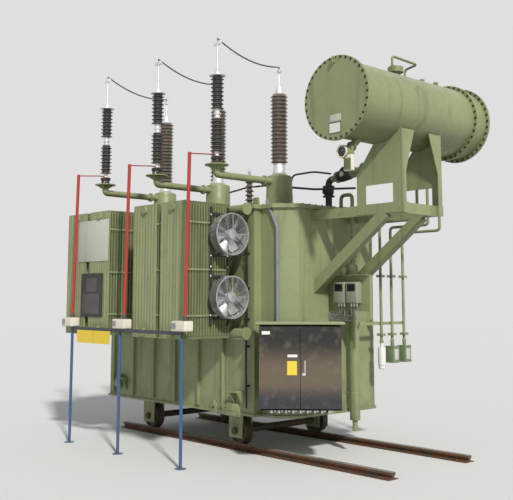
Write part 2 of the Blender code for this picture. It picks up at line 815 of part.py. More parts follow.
def blade(radius_root, radius_tip, middle_x):
    """One flat blade that widens towards its tip, upright over the axis."""
    twist = math.radians(FAN_BLADE_TWIST)
    half = FAN_BLADE_THICKNESS / 2
    bm = bmesh.new()
    rows = []
    for chord, radius in ((FAN_BLADE_ROOT, radius_root), (FAN_BLADE_CHORD, radius_tip)):
        across = math.sin(twist) * chord / 2
        along = math.cos(twist) * chord / 2
        height = math.sqrt(radius ** 2 - (along + half) ** 2)
        corners = ((-across, -along - half), (across, along - half),
                   (across, along + half), (-across, -along + half))
        rows.append([bm.verts.new((middle_x + dx, dy, height)) for dx, dy in corners])
    lower, upper = rows
    for index in range(4):
        after = (index + 1) % 4
        bm.faces.new((lower[index], lower[after], upper[after], upper[index]))
    bm.faces.new(lower)
    bm.faces.new(upper)
    return bm


def build_fan_rotor(label, z, motor_x, metal):
    """The rotor: a hub with slanted blades whose tips stay clear of the duct."""
    front = motor_x - FAN_RUNNING
    hub = cylinder(f"fan_{label}_rotor", FAN_HUB_RADIUS, (front - FAN_HUB_DEPTH, FAN_Y, z),
                   FAN_HUB_DEPTH, "X", ROUND_MIDDLE)
    tip = FAN_RADIUS - FAN_CLEARANCE
    root = FAN_HUB_RADIUS - FAN_BLADE_SINK
    blades = []
    for step in range(FAN_BLADES):
        bm = blade(root, tip, front - FAN_HUB_DEPTH / 2)
        turn = Matrix.Rotation(math.tau * step / FAN_BLADES, 4, "X")
        place = Matrix.Translation((0.0, FAN_Y, z))
        bmesh.ops.transform(bm, matrix=place @ turn, verts=bm.verts)
        blades.append(mesh_object("blade", bm))
    fuse(hub, join_shapes(f"fan_{label}_blades", blades))
    bore = (front - FAN_SHAFT_LENGTH - FAN_BORE_PAST, FAN_Y, z)
    cut(hub, cylinder(f"fan_{label}_bore", FAN_SHAFT_RADIUS + PIN_CLEARANCE, bore,
                      FAN_SHAFT_LENGTH + FAN_HUB_DEPTH, "X", ROUND_SHED))
    finish(hub, metal)


def cabinet_frame():
    """Empty at the middle of the chamfer, turned so that its -Y looks out of the corner."""
    frame = bpy.data.objects.new("cabinet_frame", None)
    bpy.context.collection.objects.link(frame)
    frame.parent = bpy.data.objects[ROOT_NAME]
    step_y = -TANK_HALF_WIDTH + STEP_DEPTH
    frame.location = (TANK_X_MAX - CHAMFER / 2, step_y + CHAMFER / 2, 0.0)
    frame.rotation_euler = (0.0, 0.0, math.radians(45))
    return frame


def build_cabinet(steel, green):
    """Control cabinet: a sheet box on brackets, its roof, glands and two doors."""
    frame = cabinet_frame()
    left = CABINET_SHIFT - CABINET_WIDTH / 2
    right = CABINET_SHIFT + CABINET_WIDTH / 2
    back = -CABINET_STANDOFF
    front = back - CABINET_DEPTH
    low = CABINET_BOTTOM
    high = low + CABINET_HEIGHT
    body = box("cabinet_body", (left, front, low), (right, back, high))
    wall = CABINET_WALL
    cut(body, box("cabinet_hollow", (left + wall, front - 0.05, low + wall),
                  (right - wall, back - wall, high - wall)))
    for z in (low + 0.12, high - 0.12):
        corner = (-CABINET_BRACKET, back - wall / 2, z - CABINET_BRACKET / 2)
        opposite = (CABINET_BRACKET, -GAP, z + CABINET_BRACKET / 2)
        fuse(body, box("cabinet_bracket", corner, opposite))
    axis_y = front - DOOR_CLEARANCE - DOOR_THICKNESS + HINGE_INSET
    door_low = low + DOOR_BORDER
    door_high = high - DOOR_BORDER
    for side, edge in ((-1, left), (1, right)):
        axis_x = edge - side * HINGE_INSET
        for level, away in ((door_low, -1), (door_high, 1)):
            near = level + away * HINGE_RUNNING
            far = near + away * HINGE_LUG
            reach = HINGE_INSET * 0.8
            lug_low = (min(axis_x - reach, axis_x + reach), axis_y - reach, min(near, far))
            lug_high = (max(axis_x - reach, axis_x + reach), front + 0.01, max(near, far))
            fuse(body, box("hinge_lug", lug_low, lug_high))
            pin_low = min(near + away * 0.004, level - away * HINGE_PIN_LENGTH)
            pin_length = HINGE_PIN_LENGTH + HINGE_RUNNING + 0.004
            fuse(body, cylinder("hinge_pin", HINGE_PIN, (axis_x, axis_y, pin_low), pin_length,
                                "Z", 12))
    glands = []
    for index in range(GLAND_COUNT):
        x = left + 0.16 + index * (CABINET_WIDTH - 0.32) / (GLAND_COUNT - 1)
        glands.append(cylinder("gland", GLAND_RADIUS, (x, (front + back) / 2, low - GLAND_LENGTH),
                               GLAND_LENGTH + wall / 2, "Z", 8))
    fuse(body, join_shapes("cabinet_glands", glands))
    finish(body, steel, smooth=False, parent=frame)
    build_cabinet_roof(frame, left, right, back, front, high, green)
    for side, edge in ((-1, left), (1, right)):
        build_door(frame, side, edge, front, door_low, door_high, steel)


def build_cabinet_roof(frame, left, right, back, front, high, green):
    """Overhanging roof with a turned-down rim."""
    z = high + GAP
    front_edge = front - ROOF_OVERHANG
    roof = box("cabinet_roof", (left - ROOF_OVERHANG, front_edge, z),
               (right + ROOF_OVERHANG, back, z + ROOF_THICKNESS))
    finish(roof, green, smooth=False, parent=frame)


def build_door(frame, side, edge, front, low, high, steel):
    """One door: a sheet pan with a hinge post along its outer edge."""
    label = "left" if side < 0 else "right"
    back_y = front - DOOR_CLEARANCE
    front_y = back_y - DOOR_THICKNESS
    inner = CABINET_SHIFT + side * DOOR_SEAM / 2
    x_low = min(edge, inner)
    x_high = max(edge, inner)
    door = box(f"cabinet_door_{label}", (x_low, front_y, low), (x_high, back_y, high))
    post = HINGE_INSET * 2
    pan_low = x_low + (post if side < 0 else DOOR_SKIN)
    pan_high = x_high - (DOOR_SKIN if side < 0 else post)
    cut(door, box(f"door_{label}_pan", (pan_low, front_y + DOOR_SKIN, low + DOOR_SKIN),
                  (pan_high, back_y + 0.01, high - DOOR_SKIN)))
    axis_x = edge - side * HINGE_INSET
    axis_y = front_y + HINGE_INSET
    radius = HINGE_PIN + PIN_CLEARANCE
    depth = HINGE_PIN_LENGTH + 0.004
    bores = [
        cylinder("bore", radius, (axis_x, axis_y, low - 0.01), depth + 0.01, "Z", 12),
        cylinder("bore", radius, (axis_x, axis_y, high - depth), depth + 0.01, "Z", 12),
    ]
    cut(door, join_shapes(f"door_{label}_bores", bores))
    if side > 0:
        x = inner + 0.035
        z = (low + high) / 2 + 0.02
        handle = box("door_handle", (x - HANDLE_WIDTH / 2, front_y - HANDLE_DEPTH, z - HANDLE_LENGTH / 2),
                     (x + HANDLE_WIDTH / 2, front_y + DOOR_SKIN / 2, z + HANDLE_LENGTH / 2))
        fuse(door, handle)
    finish(door, steel, smooth=False, parent=frame)


def shed_profile(start, count, pitch, core, radius):
    """Points of a row of sheds, each with a flat underside and a sloping top."""
    points = []
    for index in range(count):
        low = start + index * pitch
        points += [(core, low), (radius, low + pitch * 0.35)]
    points.append((core, start + count * pitch))
    return points


def turret_top():
    """Height of a turret's upper face."""
    return cover_top() + TURRET_HEIGHT


def build_turret(index, x, green):
    """Turret on the cover, with the arm and disc that hold a surge arrester."""
    base = cover_top()
    top = turret_top()
    rim = TURRET_TOP_RADIUS + TURRET_RIM
    profile = [
        (0.0, base), (TURRET_RADIUS + TURRET_RIM, base),
        (TURRET_RADIUS + TURRET_RIM, base + TURRET_RIM_DEPTH),
        (TURRET_RADIUS, base + TURRET_RIM_DEPTH), (TURRET_TOP_RADIUS, top - TURRET_RIM_DEPTH),
        (rim, top - TURRET_RIM_DEPTH), (rim, top), (0.0, top),
    ]
    turret = turned(f"turret_{index}", profile, (x, BUSHING_Y, 0.0), "Z", ROUND_MIDDLE)
    route = [
        (x, BUSHING_Y - TURRET_TOP_RADIUS * 0.6, ARM_HEIGHT), (x, ARRESTER_Y, ARM_HEIGHT),
        (x, ARRESTER_Y, DISC_Z + DISC_THICKNESS / 2),
    ]
    fuse(turret, pipe(f"arm_{index}", smooth_route(route, ARM_BEND, 3), ARM_RADIUS, 1))
    disc = cylinder(f"disc_{index}", DISC_RADIUS, (x, ARRESTER_Y, DISC_Z), DISC_THICKNESS, "Z", ROUND_MIDDLE)
    fuse(turret, disc)
    finish(turret, green)


def build_bushing(index, x, brown):
    """High-voltage bushing: flange, sheds, cap and terminal in one turned body."""
    base = turret_top() + GAP
    sheds = shed_profile(SHED_START, SHED_COUNT, SHED_PITCH, SHED_CORE, SHED_RADIUS)
    end = SHED_START + SHED_COUNT * SHED_PITCH
    profile = [
        (0.0, 0.0), (BUSHING_FLANGE_RADIUS, 0.0), (BUSHING_FLANGE_RADIUS, 0.035),
        (SHED_CORE + 0.015, 0.045), (SHED_CORE + 0.015, SHED_START - 0.005),
    ]
    profile += sheds
    profile += [
        (BUSHING_CAP_RADIUS + 0.015, end + 0.01), (BUSHING_CAP_RADIUS * 0.5, end + BUSHING_CAP_HEIGHT),
        (TERMINAL_RADIUS, end + BUSHING_CAP_HEIGHT + 0.005),
        (TERMINAL_RADIUS, end + TERMINAL_HEIGHT + BUSHING_CAP_HEIGHT),
        (0.0, end + TERMINAL_HEIGHT + BUSHING_CAP_HEIGHT),
    ]
    finish(turned(f"bushing_{index}", profile, (x, BUSHING_Y, base), "Z", ROUND_SHED), brown)


def bushing_tip():
    """Height of a bushing's terminal."""
    sheds = SHED_START + SHED_COUNT * SHED_PITCH
    return turret_top() + GAP + sheds + BUSHING_CAP_HEIGHT + TERMINAL_HEIGHT


def arrester_base():
    """Height of the seat of an arrester's foot."""
    return DISC_Z + DISC_THICKNESS + GAP


def build_arrester(index, x, grey):
    """Surge arrester: two shed units with a metal joint, a cap plate and a rod."""
    pitch = ARRESTER_UNIT / ARRESTER_SHEDS
    lower = ARRESTER_FOOT
    joint = lower + ARRESTER_UNIT
    upper = joint + ARRESTER_JOINT
    top = upper + ARRESTER_UNIT
    profile = [(0.0, 0.0), (ARRESTER_METAL + 0.02, 0.0), (ARRESTER_METAL + 0.02, 0.015),
               (ARRESTER_METAL, 0.02), (ARRESTER_METAL, lower - 0.002)]
    profile += shed_profile(lower, ARRESTER_SHEDS, pitch, ARRESTER_CORE, ARRESTER_RADIUS)
    profile += [(ARRESTER_METAL, joint + 0.004), (ARRESTER_METAL, upper - 0.004)]
    profile += shed_profile(upper, ARRESTER_SHEDS, pitch, ARRESTER_CORE, ARRESTER_RADIUS)
    profile += [(ARRESTER_RADIUS + 0.015, top + 0.002), (ARRESTER_RADIUS + 0.015, top + 0.012),
                (0.03, top + 0.018), (ARRESTER_ROD, top + 0.03),
                (ARRESTER_ROD, top + ARRESTER_ROD_HEIGHT), (0.0, top + ARRESTER_ROD_HEIGHT)]
    place = (x, ARRESTER_Y, arrester_base())
    finish(turned(f"arrester_{index}", profile, place, "Z", ROUND_SMALL), grey)


def arrester_tip():
    """Height of an arrester's rod end."""
    top = ARRESTER_FOOT + 2 * ARRESTER_UNIT + ARRESTER_JOINT
    return arrester_base() + top + ARRESTER_ROD_HEIGHT


def build_jumper(index, x, metal):
    """Conductor that hangs between the arrester's rod and the bushing's terminal."""
    rise = Vector((0.0, 0.0, JUMPER_RISE))
    foot = Vector((x, ARRESTER_Y, arrester_tip() + GAP))
    last = Vector((x, BUSHING_Y, bushing_tip() + GAP))
    start = foot + rise
    end = last + rise
    points = [foot]
    for step in range(JUMPER_STEPS + 1):
        share = step / JUMPER_STEPS
        point = start.lerp(end, share)
        point.z -= 4 * JUMPER_SAG * share * (1 - share)
        points.append(point)
    points.append(last)
    finish(pipe(f"jumper_{index}", points, JUMPER_RADIUS, 1), metal)


def build_neutral(brown, grey):
    """Neutral bushing on the cover and the small arrester behind the second turret."""
    profile = [(0.0, 0.0), (0.075, 0.0), (0.075, 0.03), (0.045, 0.04), (0.045, 0.08)]
    profile += shed_profile(0.08, 5, 0.045, 0.038, 0.062)
    profile += [(0.03, 0.33), (0.010, 0.34), (0.010, 0.62), (0.0, 0.62)]
    place = (NEUTRAL_X, NEUTRAL_Y, cover_top())
    finish(turned("neutral_bushing", profile, place, "Z", ROUND_SMALL), brown)
    profile = [(0.0, 0.0), (0.07, 0.0), (0.07, 0.30), (0.05, 0.31), (0.05, 0.34)]
    profile += shed_profile(0.34, 7, 0.058, 0.045, 0.072)
    profile += [(0.05, 0.76), (0.012, 0.775), (0.012, 0.90), (0.0, 0.90)]
    place = (NEUTRAL_ARRESTER_X, NEUTRAL_ARRESTER_Y, cover_top())
    finish(turned("neutral_arrester", profile, place, "Z", ROUND_SMALL), grey)


def build_conservator(green):
    """Conservator: an open tube with a lip at each end, and two end plates."""
    start = CONSERVATOR_START + GAP
    end = CONSERVATOR_END - GAP
    inner = CONSERVATOR_RADIUS - CONSERVATOR_WALL
    joint = CONSERVATOR_JOINT
    lip = CONSERVATOR_LIP_DEPTH
    outline = [
        (inner, start), (CONSERVATOR_LIP, start), (CONSERVATOR_LIP, start + lip),
        (CONSERVATOR_RADIUS, start + lip), (CONSERVATOR_RADIUS, joint - lip),
        (CONSERVATOR_LIP, joint - lip), (CONSERVATOR_LIP, joint + lip),
        (CONSERVATOR_RADIUS, joint + lip), (CONSERVATOR_RADIUS, end - lip),
        (CONSERVATOR_LIP, end - lip), (CONSERVATOR_LIP, end), (inner, end),
    ]
    centre = (CONSERVATOR_X, 0.0, CONSERVATOR_Z)
    shell = ring("conservator_shell", outline, centre, "Y", ROUND)
    top = CONSERVATOR_Z + CONSERVATOR_RADIUS - 0.012
    nozzle = [(0.0, 0.0), (0.05, 0.0), (0.05, 0.07), (0.085, 0.07), (0.085, 0.11), (0.0, 0.11)]
    place = (CONSERVATOR_X, VENT_Y, top)
    fuse(shell, turned("conservator_nozzle", nozzle, place, "Z", 16))
    cap = [(0.0, 0.0), (0.03, 0.0), (0.03, 0.06), (0.0, 0.06)]
    fuse(shell, turned("conservator_nub", cap, (CONSERVATOR_X, VENT_Y + 0.62, top), "Z", 12))
    loop_top = top + 0.11 + VENT_RISE
    route = [
        (CONSERVATOR_X, VENT_Y, top + 0.10), (CONSERVATOR_X, VENT_Y, loop_top),
        (CONSERVATOR_X, VENT_Y + VENT_REACH, loop_top - 0.02),
        (CONSERVATOR_X, VENT_Y + VENT_REACH, top),
    ]
    fuse(shell, pipe("conservator_vent", smooth_route(route, 0.05, 3), 0.016, 1))
    finish(shell, green)
    near = [(0.0, -CAP_THICKNESS), (CONSERVATOR_LIP, -CAP_THICKNESS), (CONSERVATOR_LIP, 0.0), (0.0, 0.0)]
    place = (CONSERVATOR_X, CONSERVATOR_START, CONSERVATOR_Z)
    cap_near = turned("conservator_cap_near", near, place, "Y", ROUND)
    lug_z = CONSERVATOR_Z + CONSERVATOR_LIP - 0.06
    lug = prism("cap_lug", [(CONSERVATOR_X - 0.05, lug_z - 0.04), (CONSERVATOR_X + 0.05, lug_z - 0.04),
                            (CONSERVATOR_X + 0.03, lug_z + 0.05), (CONSERVATOR_X - 0.03, lug_z + 0.05)],
                CONSERVATOR_START - CAP_THICKNESS - 0.012,
                CONSERVATOR_START - CAP_THICKNESS / 2, "Y")
    fuse(cap_near, lug)
    finish(cap_near, green)
    far = [(0.0, 0.0), (CONSERVATOR_LIP, 0.0), (CONSERVATOR_LIP, CAP_THICKNESS), (0.0, CAP_THICKNESS)]
    place = (CONSERVATOR_X, CONSERVATOR_END, CONSERVATOR_Z)
    finish(turned("conservator_cap_far", far, place, "Y", ROUND), green)


def saddle_outline():
    """Side view of a saddle web in X and Z, cut to the conservator's curve."""
    right = POST_X[1] + POST_WIDTH / 2
    left = POST_X[0] - POST_WIDTH / 2
    outline = [(left, SADDLE_BASE_Z), (right, SADDLE_BASE_Z), (right, facet_height(right))]
    for side in range(ROUND // 4):
        x = CONSERVATOR_X + CONSERVATOR_RADIUS * math.cos(math.tau * (side + 1) / ROUND)
        if x < right:
            outline.append((x, facet_height(x)))
    last = CONSERVATOR_X - SADDLE_CONTACT
    outline.append((last, facet_height(last)))
    return outline


def facet_height(x):
    """Height just under the conservator's flat facets at a place in X."""
    step = math.tau / ROUND
    radius = CONSERVATOR_RADIUS + GAP / math.cos(step / 2)
    across = x - CONSERVATOR_X
    corner = math.floor(math.acos(across / radius) / step)
    ends = [radius * math.cos(step * number) for number in (corner, corner + 1)]
    falls = [radius * math.sin(step * number) for number in (corner, corner + 1)]
    share = (across - ends[0]) / (ends[1] - ends[0])
    return CONSERVATOR_Z - falls[0] - (falls[1] - falls[0]) * share


def build_support(label, y, green):
    """One upright frame under the conservator: beam, posts, rails, saddle and brace."""
    inward = 1 if y < 0 else -1
    half = POST_THICKNESS / 2
    left = POST_X[0] - POST_WIDTH / 2
    right = POST_X[1] + POST_WIDTH / 2
    low = BEAM_TOP - BEAM_DEPTH
    high = SADDLE_BASE_Z
    plate = prism(f"support_{label}", saddle_outline(), y - half, y + half, "Y")
    panel = prism("support_panel", [(left, low + 0.01), (right, low + 0.01), (right, high + 0.02),
                                    (left, high + 0.02)], y - half, y + half, "Y")
    fuse(plate, panel)
    window_low = BEAM_TOP + 0.005
    window_high = window_low + WINDOW_HEIGHT
    window_left = POST_X[0] + POST_WIDTH / 2
    window_right = POST_X[1] - POST_WIDTH / 2
    start = TANK_X_MAX + GAP
    edge = y + inward * half
    far_edge = y + inward * BEAM_WIDTH
    beam = box("support_beam", (start, min(edge - inward * half, far_edge), low),
               (BEAM_END, max(edge - inward * half, far_edge), BEAM_TOP))
    fuse(plate, beam)
    cut(plate, box("support_window", (window_left, y - 0.05, window_low),
                   (window_right, y + 0.05, window_high)))
    depth = SADDLE_FLANGE_FOOT
    flange = [
        (y - inward * half, low + 0.02), (y + inward * depth, low + 0.02),
        (y + inward * depth, high), (y + inward * SADDLE_FLANGE_TOP, SADDLE_TIP),
        (y - inward * half, SADDLE_TIP),
    ]
    fuse(plate, prism("support_flange", flange, right - half, right + half, "X"))
    brace_end = (BRACE_HEAD_X, low + 0.02)
    brace_start = (start, BRACE_FOOT_Z)
    along = Vector((brace_end[0] - brace_start[0], brace_end[1] - brace_start[1])).normalized()
    normal = Vector((-along.y, along.x)) * BRACE_WIDTH / 2
    slope = along.y / along.x
    rise = BRACE_WIDTH / 2 * math.sqrt(1 + slope ** 2)
    brace = [
        (start, BRACE_FOOT_Z - rise), (brace_end[0] + normal.x * -1, brace_end[1] - normal.y),
        (brace_end[0] + normal.x, brace_end[1] + normal.y), (start, BRACE_FOOT_Z + rise),
    ]
    edge_low = min(y - inward * half, y + inward * BEAM_WIDTH)
    edge_high = max(y - inward * half, y + inward * BEAM_WIDTH)
    fuse(plate, prism("support_brace", brace, edge_low, edge_high, "Y"))
    finish(plate, green, smooth=False)


def build_cross_ties(green):
    """Two ties between the support frames, level with the beam and under the saddles."""
    y_low = SUPPORT_Y[0] + BEAM_WIDTH + GAP
    y_high = SUPPORT_Y[1] - BEAM_WIDTH - GAP
    x = BEAM_END - 0.05
    tie = box("support_tie", (x - 0.05, y_low, BEAM_TOP - BEAM_DEPTH), (x, y_high, BEAM_TOP))
    finish(tie, green, smooth=False)


def build_oil_pipe(dark):
    """Pipe from the cover through the relay up into the conservator."""
    base = cover_top()
    entry_z = CONSERVATOR_Z - CONSERVATOR_RADIUS
    lower = Vector((OIL_BASE_X, OIL_PIPE_Y, base + OIL_RISER))
    upper = Vector((OIL_KNEE_X, OIL_PIPE_Y, entry_z - OIL_DROP))
    route = [(OIL_BASE_X, OIL_PIPE_Y, base), lower, upper, (OIL_TOP_X, OIL_PIPE_Y, upper.z)]
    body = pipe("oil_pipe", smooth_route(route, OIL_BEND, 3), OIL_PIPE_RADIUS, 1)
    foot = (OIL_BASE_X, OIL_PIPE_Y, base)
    fuse(body, cylinder("oil_foot", OIL_FLANGE_RADIUS, foot, OIL_FLANGE_DEPTH, "Z", 16))
    top = underside(OIL_TOP_X, OIL_PIPE_RADIUS)
    riser_base = (OIL_TOP_X, OIL_PIPE_Y, upper.z - OIL_PIPE_RADIUS)
    fuse(body, cylinder("oil_riser", OIL_PIPE_RADIUS, riser_base, top - riser_base[2], "Z", 16))
    along = (upper - lower).normalized()
    middle = lower.lerp(upper, RELAY_SHARE)
    relay = pipe("oil_relay", [middle - along * RELAY_LENGTH / 2, middle + along * RELAY_LENGTH / 2],
                 RELAY_RADIUS, 2)
    fuse(body, relay)
    for side in (-1, 1):
        end = middle + along * side * (RELAY_LENGTH / 2 + RELAY_FLANGE_GAP)
        outer = end + along * side * OIL_FLANGE_DEPTH
        fuse(body, pipe("oil_flange", [end, outer], OIL_FLANGE_RADIUS, 2))
    finish(body, dark)


def build_gauge(white):
    """Level gauge on a slanted neck, with its dial and the switch box beside it."""
    top = CONSERVATOR_Z - CONSERVATOR_RADIUS - GAP
    upper = Vector((GAUGE_X, GAUGE_Y[0], top))
    lower = Vector((GAUGE_X, GAUGE_Y[1], GAUGE_NECK_Z))
    past = upper + (upper - lower).normalized() * GAUGE_NECK_RADIUS * 2
    neck = pipe("gauge_neck", [lower, past], GAUGE_NECK_RADIUS, 2)
    reach = GAUGE_NECK_RADIUS * 3
    cut(neck, box("gauge_seat", (GAUGE_X - reach, upper.y - reach, top),
                  (GAUGE_X + reach, upper.y + reach, top + reach)))
    body = cylinder("level_gauge", GAUGE_RADIUS, (GAUGE_X, GAUGE_FACE_Y, GAUGE_Z), GAUGE_DEPTH,
                    "Y", ROUND)
    back = GAUGE_Y[1] + GAUGE_NECK_RADIUS
    fuse(body, cylinder("gauge_body", GAUGE_BODY_RADIUS, (GAUGE_X, GAUGE_FACE_Y, GAUGE_Z),
                        back - GAUGE_FACE_Y, "Y", ROUND_MIDDLE))
    fuse(body, neck)
    half = GAUGE_BOX_SIZE / 2
    middle_y = GAUGE_FACE_Y + GAUGE_DEPTH / 2
    low = (GAUGE_BOX_X - half, middle_y, GAUGE_BOX_Z - half)
    high = (GAUGE_BOX_X + half, middle_y + GAUGE_BOX_DEPTH, GAUGE_BOX_Z + half)
    fuse(body, box("gauge_switch", low, high))
    finish(body, white)


def build_relief_pipe(green):
    """Wide drain pipe down the tank's end, with its thin supply pipe from the cover."""
    place = (RELIEF_X, RELIEF_Y, 0.0)
    profile = [
        (0.0, RELIEF_BOTTOM - 0.14), (0.035, RELIEF_BOTTOM - 0.14), (0.035, RELIEF_BOTTOM),
        (RELIEF_RADIUS, RELIEF_BOTTOM), (RELIEF_RADIUS, RELIEF_TOP - 0.04),
        (RELIEF_RADIUS * 0.6, RELIEF_TOP), (0.0, RELIEF_TOP),
    ]
    body = turned("relief_pipe", profile, place, "Z", ROUND_MIDDLE)
    route = [
        (RELIEF_X, RELIEF_Y, RELIEF_TOP - 0.02), (RELIEF_X, RELIEF_Y, RELIEF_ARCH),
        (RELIEF_INLET_X, RELIEF_Y, RELIEF_ARCH), (RELIEF_INLET_X, RELIEF_Y, cover_top()),
    ]
    fuse(body, pipe("relief_thin", smooth_route(route, 0.08, 3), RELIEF_THIN_RADIUS, 1))
    start = TANK_X_MAX + GAP
    for z in (RELIEF_BOTTOM + 0.35, RELIEF_TOP - 0.35):
        fuse(body, box("relief_clamp", (start, RELIEF_Y - 0.02, z - 0.02),
                       (RELIEF_X, RELIEF_Y + 0.02, z + 0.02)))
    finish(body, green)


def build_breathers(green, white):
    """Three breathers on their pipes from the conservator's far end."""
    names = ("breather_1", "breather_2", "breather_3")
    for index, (name, y) in enumerate(zip(names, BREATHER_Y)):
        top = BREATHER_BODY_TOP
        if index == 0:
            profile = [(0.0, top - BREATHER_HEIGHT), (BREATHER_RADIUS, top - BREATHER_HEIGHT),
                       (BREATHER_RADIUS, top - 0.02), (0.03, top), (0.0, top)]
            body = turned(name, profile, (BREATHER_X, y, 0.0), "Z", 16)
        else:
            low = (BREATHER_X - 0.07, y - 0.07, top - BREATHER_HEIGHT * 0.75)
            body = box(name, low, (BREATHER_X + 0.07, y + 0.07, top))
        pipe_top = BREATHER_TOP - 0.06 * index
        route = [
            (BREATHER_X, y, top - 0.01), (BREATHER_X, y, pipe_top),
            (BREATHER_INLET_X, y, pipe_top),
            (BREATHER_INLET_X, y, underside(BREATHER_INLET_X, BREATHER_PIPE_RADIUS)),
        ]
        fuse(body, pipe(name + "_pipe", smooth_route(route, 0.07, 3), BREATHER_PIPE_RADIUS, 1))
        finish(body, white if index == 0 else green)


def underside(x, reach):
    """Height at which an upright pipe of a given radius meets the conservator from below."""
    return facet_height(min(x + reach, CONSERVATOR_X))


def build_breather_holder(green):
    """Bar along the tank's end that holds the breather pipes, on an arm from the wall."""
    z = BREATHER_BODY_TOP + HOLDER_RISE
    half = HOLDER_HEIGHT / 2
    x = BREATHER_X - BREATHER_PIPE_RADIUS - GAP * 2
    bar = box("breather_holder", (TANK_X_MAX + GAP, HOLDER_ARM_Y - HOLDER_WIDTH / 2, z - half),
              (x, HOLDER_ARM_Y + HOLDER_WIDTH / 2, z + half))
    fuse(bar, box("holder_bar", (x - HOLDER_DEPTH, HOLDER_START_Y, z - half + GAP),
                  (x, BREATHER_Y[-1] + HOLDER_WIDTH, z + half - GAP)))
    finish(bar, green, smooth=False)


def build_instruments(green, grey):
    """Plate that stands out from the tank's end under a canopy, and two instrument boxes."""
    start = TANK_X_MAX + GAP
    front = HOOD_Y - HOOD_THICKNESS
    low, high = HOOD_Z
    plate = box("instrument_plate", (start, front, low), (HOOD_END_X, HOOD_Y, high))
    fuse(plate, box("instrument_canopy", (start, front - HOOD_CANOPY_DEPTH, high - GAP),
                    (HOOD_END_X, HOOD_Y, high + HOOD_CANOPY_THICKNESS)))
    fuse(plate, box("instrument_post", (HOOD_END_X - HOOD_THICKNESS, front, HOOD_POST_FOOT),
                    (HOOD_END_X, HOOD_Y + HOOD_FLANGE, high)))
    finish(plate, green, smooth=False)
    back = front - GAP
    for index, x in enumerate(INSTRUMENT_X, start=1):
        corner = (x, back - INSTRUMENT_DEPTH, INSTRUMENT_BOTTOM)
        opposite = (x + INSTRUMENT_WIDTH, back, INSTRUMENT_BOTTOM + INSTRUMENT_HEIGHT)
        finish(box(f"instrument_box_{index}", corner, opposite), grey, smooth=False)


def build_conduit(grey):
    """Conduit from the cover's edge down to the cabinet's roof."""
    step_y = -TANK_HALF_WIDTH + STEP_DEPTH
    roof = CABINET_BOTTOM + CABINET_HEIGHT + GAP + ROOF_THICKNESS + GAP
    top = cover_top()
    route = [
        (-0.06, step_y + 0.08, top), (-0.06, step_y + 0.08, top + 0.07),
        (0.0, step_y - CONDUIT_OUT, top + 0.07), (0.12, step_y - CONDUIT_OUT, top - 0.28),
        (0.15, step_y - CONDUIT_OUT, roof + 0.70), (0.15, step_y - CONDUIT_OUT, roof),
    ]
    finish(pipe("conduit", smooth_route(route, 0.055, 3), CONDUIT_RADIUS, 1), grey)


def build_rack(blue, cream):
    """Rack of three posts and a bar, with a surge counter and its lead at each post."""
    bar_low = RACK_TOP - RACK_BAR
    start = RACK_POST_X[0] - 0.02
    end = RACK_POST_X[-1] + 0.02
    rack = box("counter_rack", (start, RACK_Y - 0.012, bar_low), (end, RACK_Y + 0.012, RACK_TOP))
    for x in RACK_POST_X:
        profile = [(0.0, 0.0), (RACK_FOOT, 0.0), (RACK_FOOT, 0.008), (RACK_POST_RADIUS, 0.008),
                   (RACK_POST_RADIUS, RACK_TOP - 0.005), (0.0, RACK_TOP - 0.005)]
        fuse(rack, turned("rack_post", profile, (x, RACK_Y, 0.0), "Z", 12))
    finish(rack, blue)
    for index, (post, phase) in enumerate(zip(RACK_POST_X, reversed(PHASE_X)), start=1):
        low = (phase - COUNTER_WIDTH / 2, RACK_Y - COUNTER_DEPTH / 2, RACK_TOP + GAP)
        high = (phase + COUNTER_WIDTH / 2, RACK_Y + COUNTER_DEPTH / 2,
                RACK_TOP + GAP + COUNTER_HEIGHT)
        counter = box(f"counter_{index}", low, high)
        foot_y = ARRESTER_Y - (ARRESTER_METAL + 0.02) * math.cos(math.pi / ROUND_SMALL) - GAP
        rod_z = arrester_base() + 0.008
        route = [(phase, RACK_Y, high[2] - 0.01), (phase, RACK_Y, LEAD_TOP)]
        fuse(counter, pipe(f"lead_{index}", route, LEAD_RADIUS, 1))
        rod = [(phase, RACK_Y, rod_z + 0.05), (phase, RACK_Y + 0.10, rod_z + 0.05),
               (phase, foot_y - 0.08, rod_z), (phase, foot_y, rod_z)]
        fuse(counter, pipe(f"lead_rod_{index}", smooth_route(rod, 0.03, 2), LEAD_ROD_RADIUS, 1))
        finish(counter, cream)


def build_plate_board(dark):
    """Board on the left radiators that carries the rating plates."""
    back = PANEL_FACE_Y - FLUTE_DEPTH - GAP
    low = (BOARD_X[0], back - BOARD_THICKNESS, BOARD_Z[0])
    finish(box("rating_board", low, (BOARD_X[1], back, BOARD_Z[1])), dark, smooth=False)


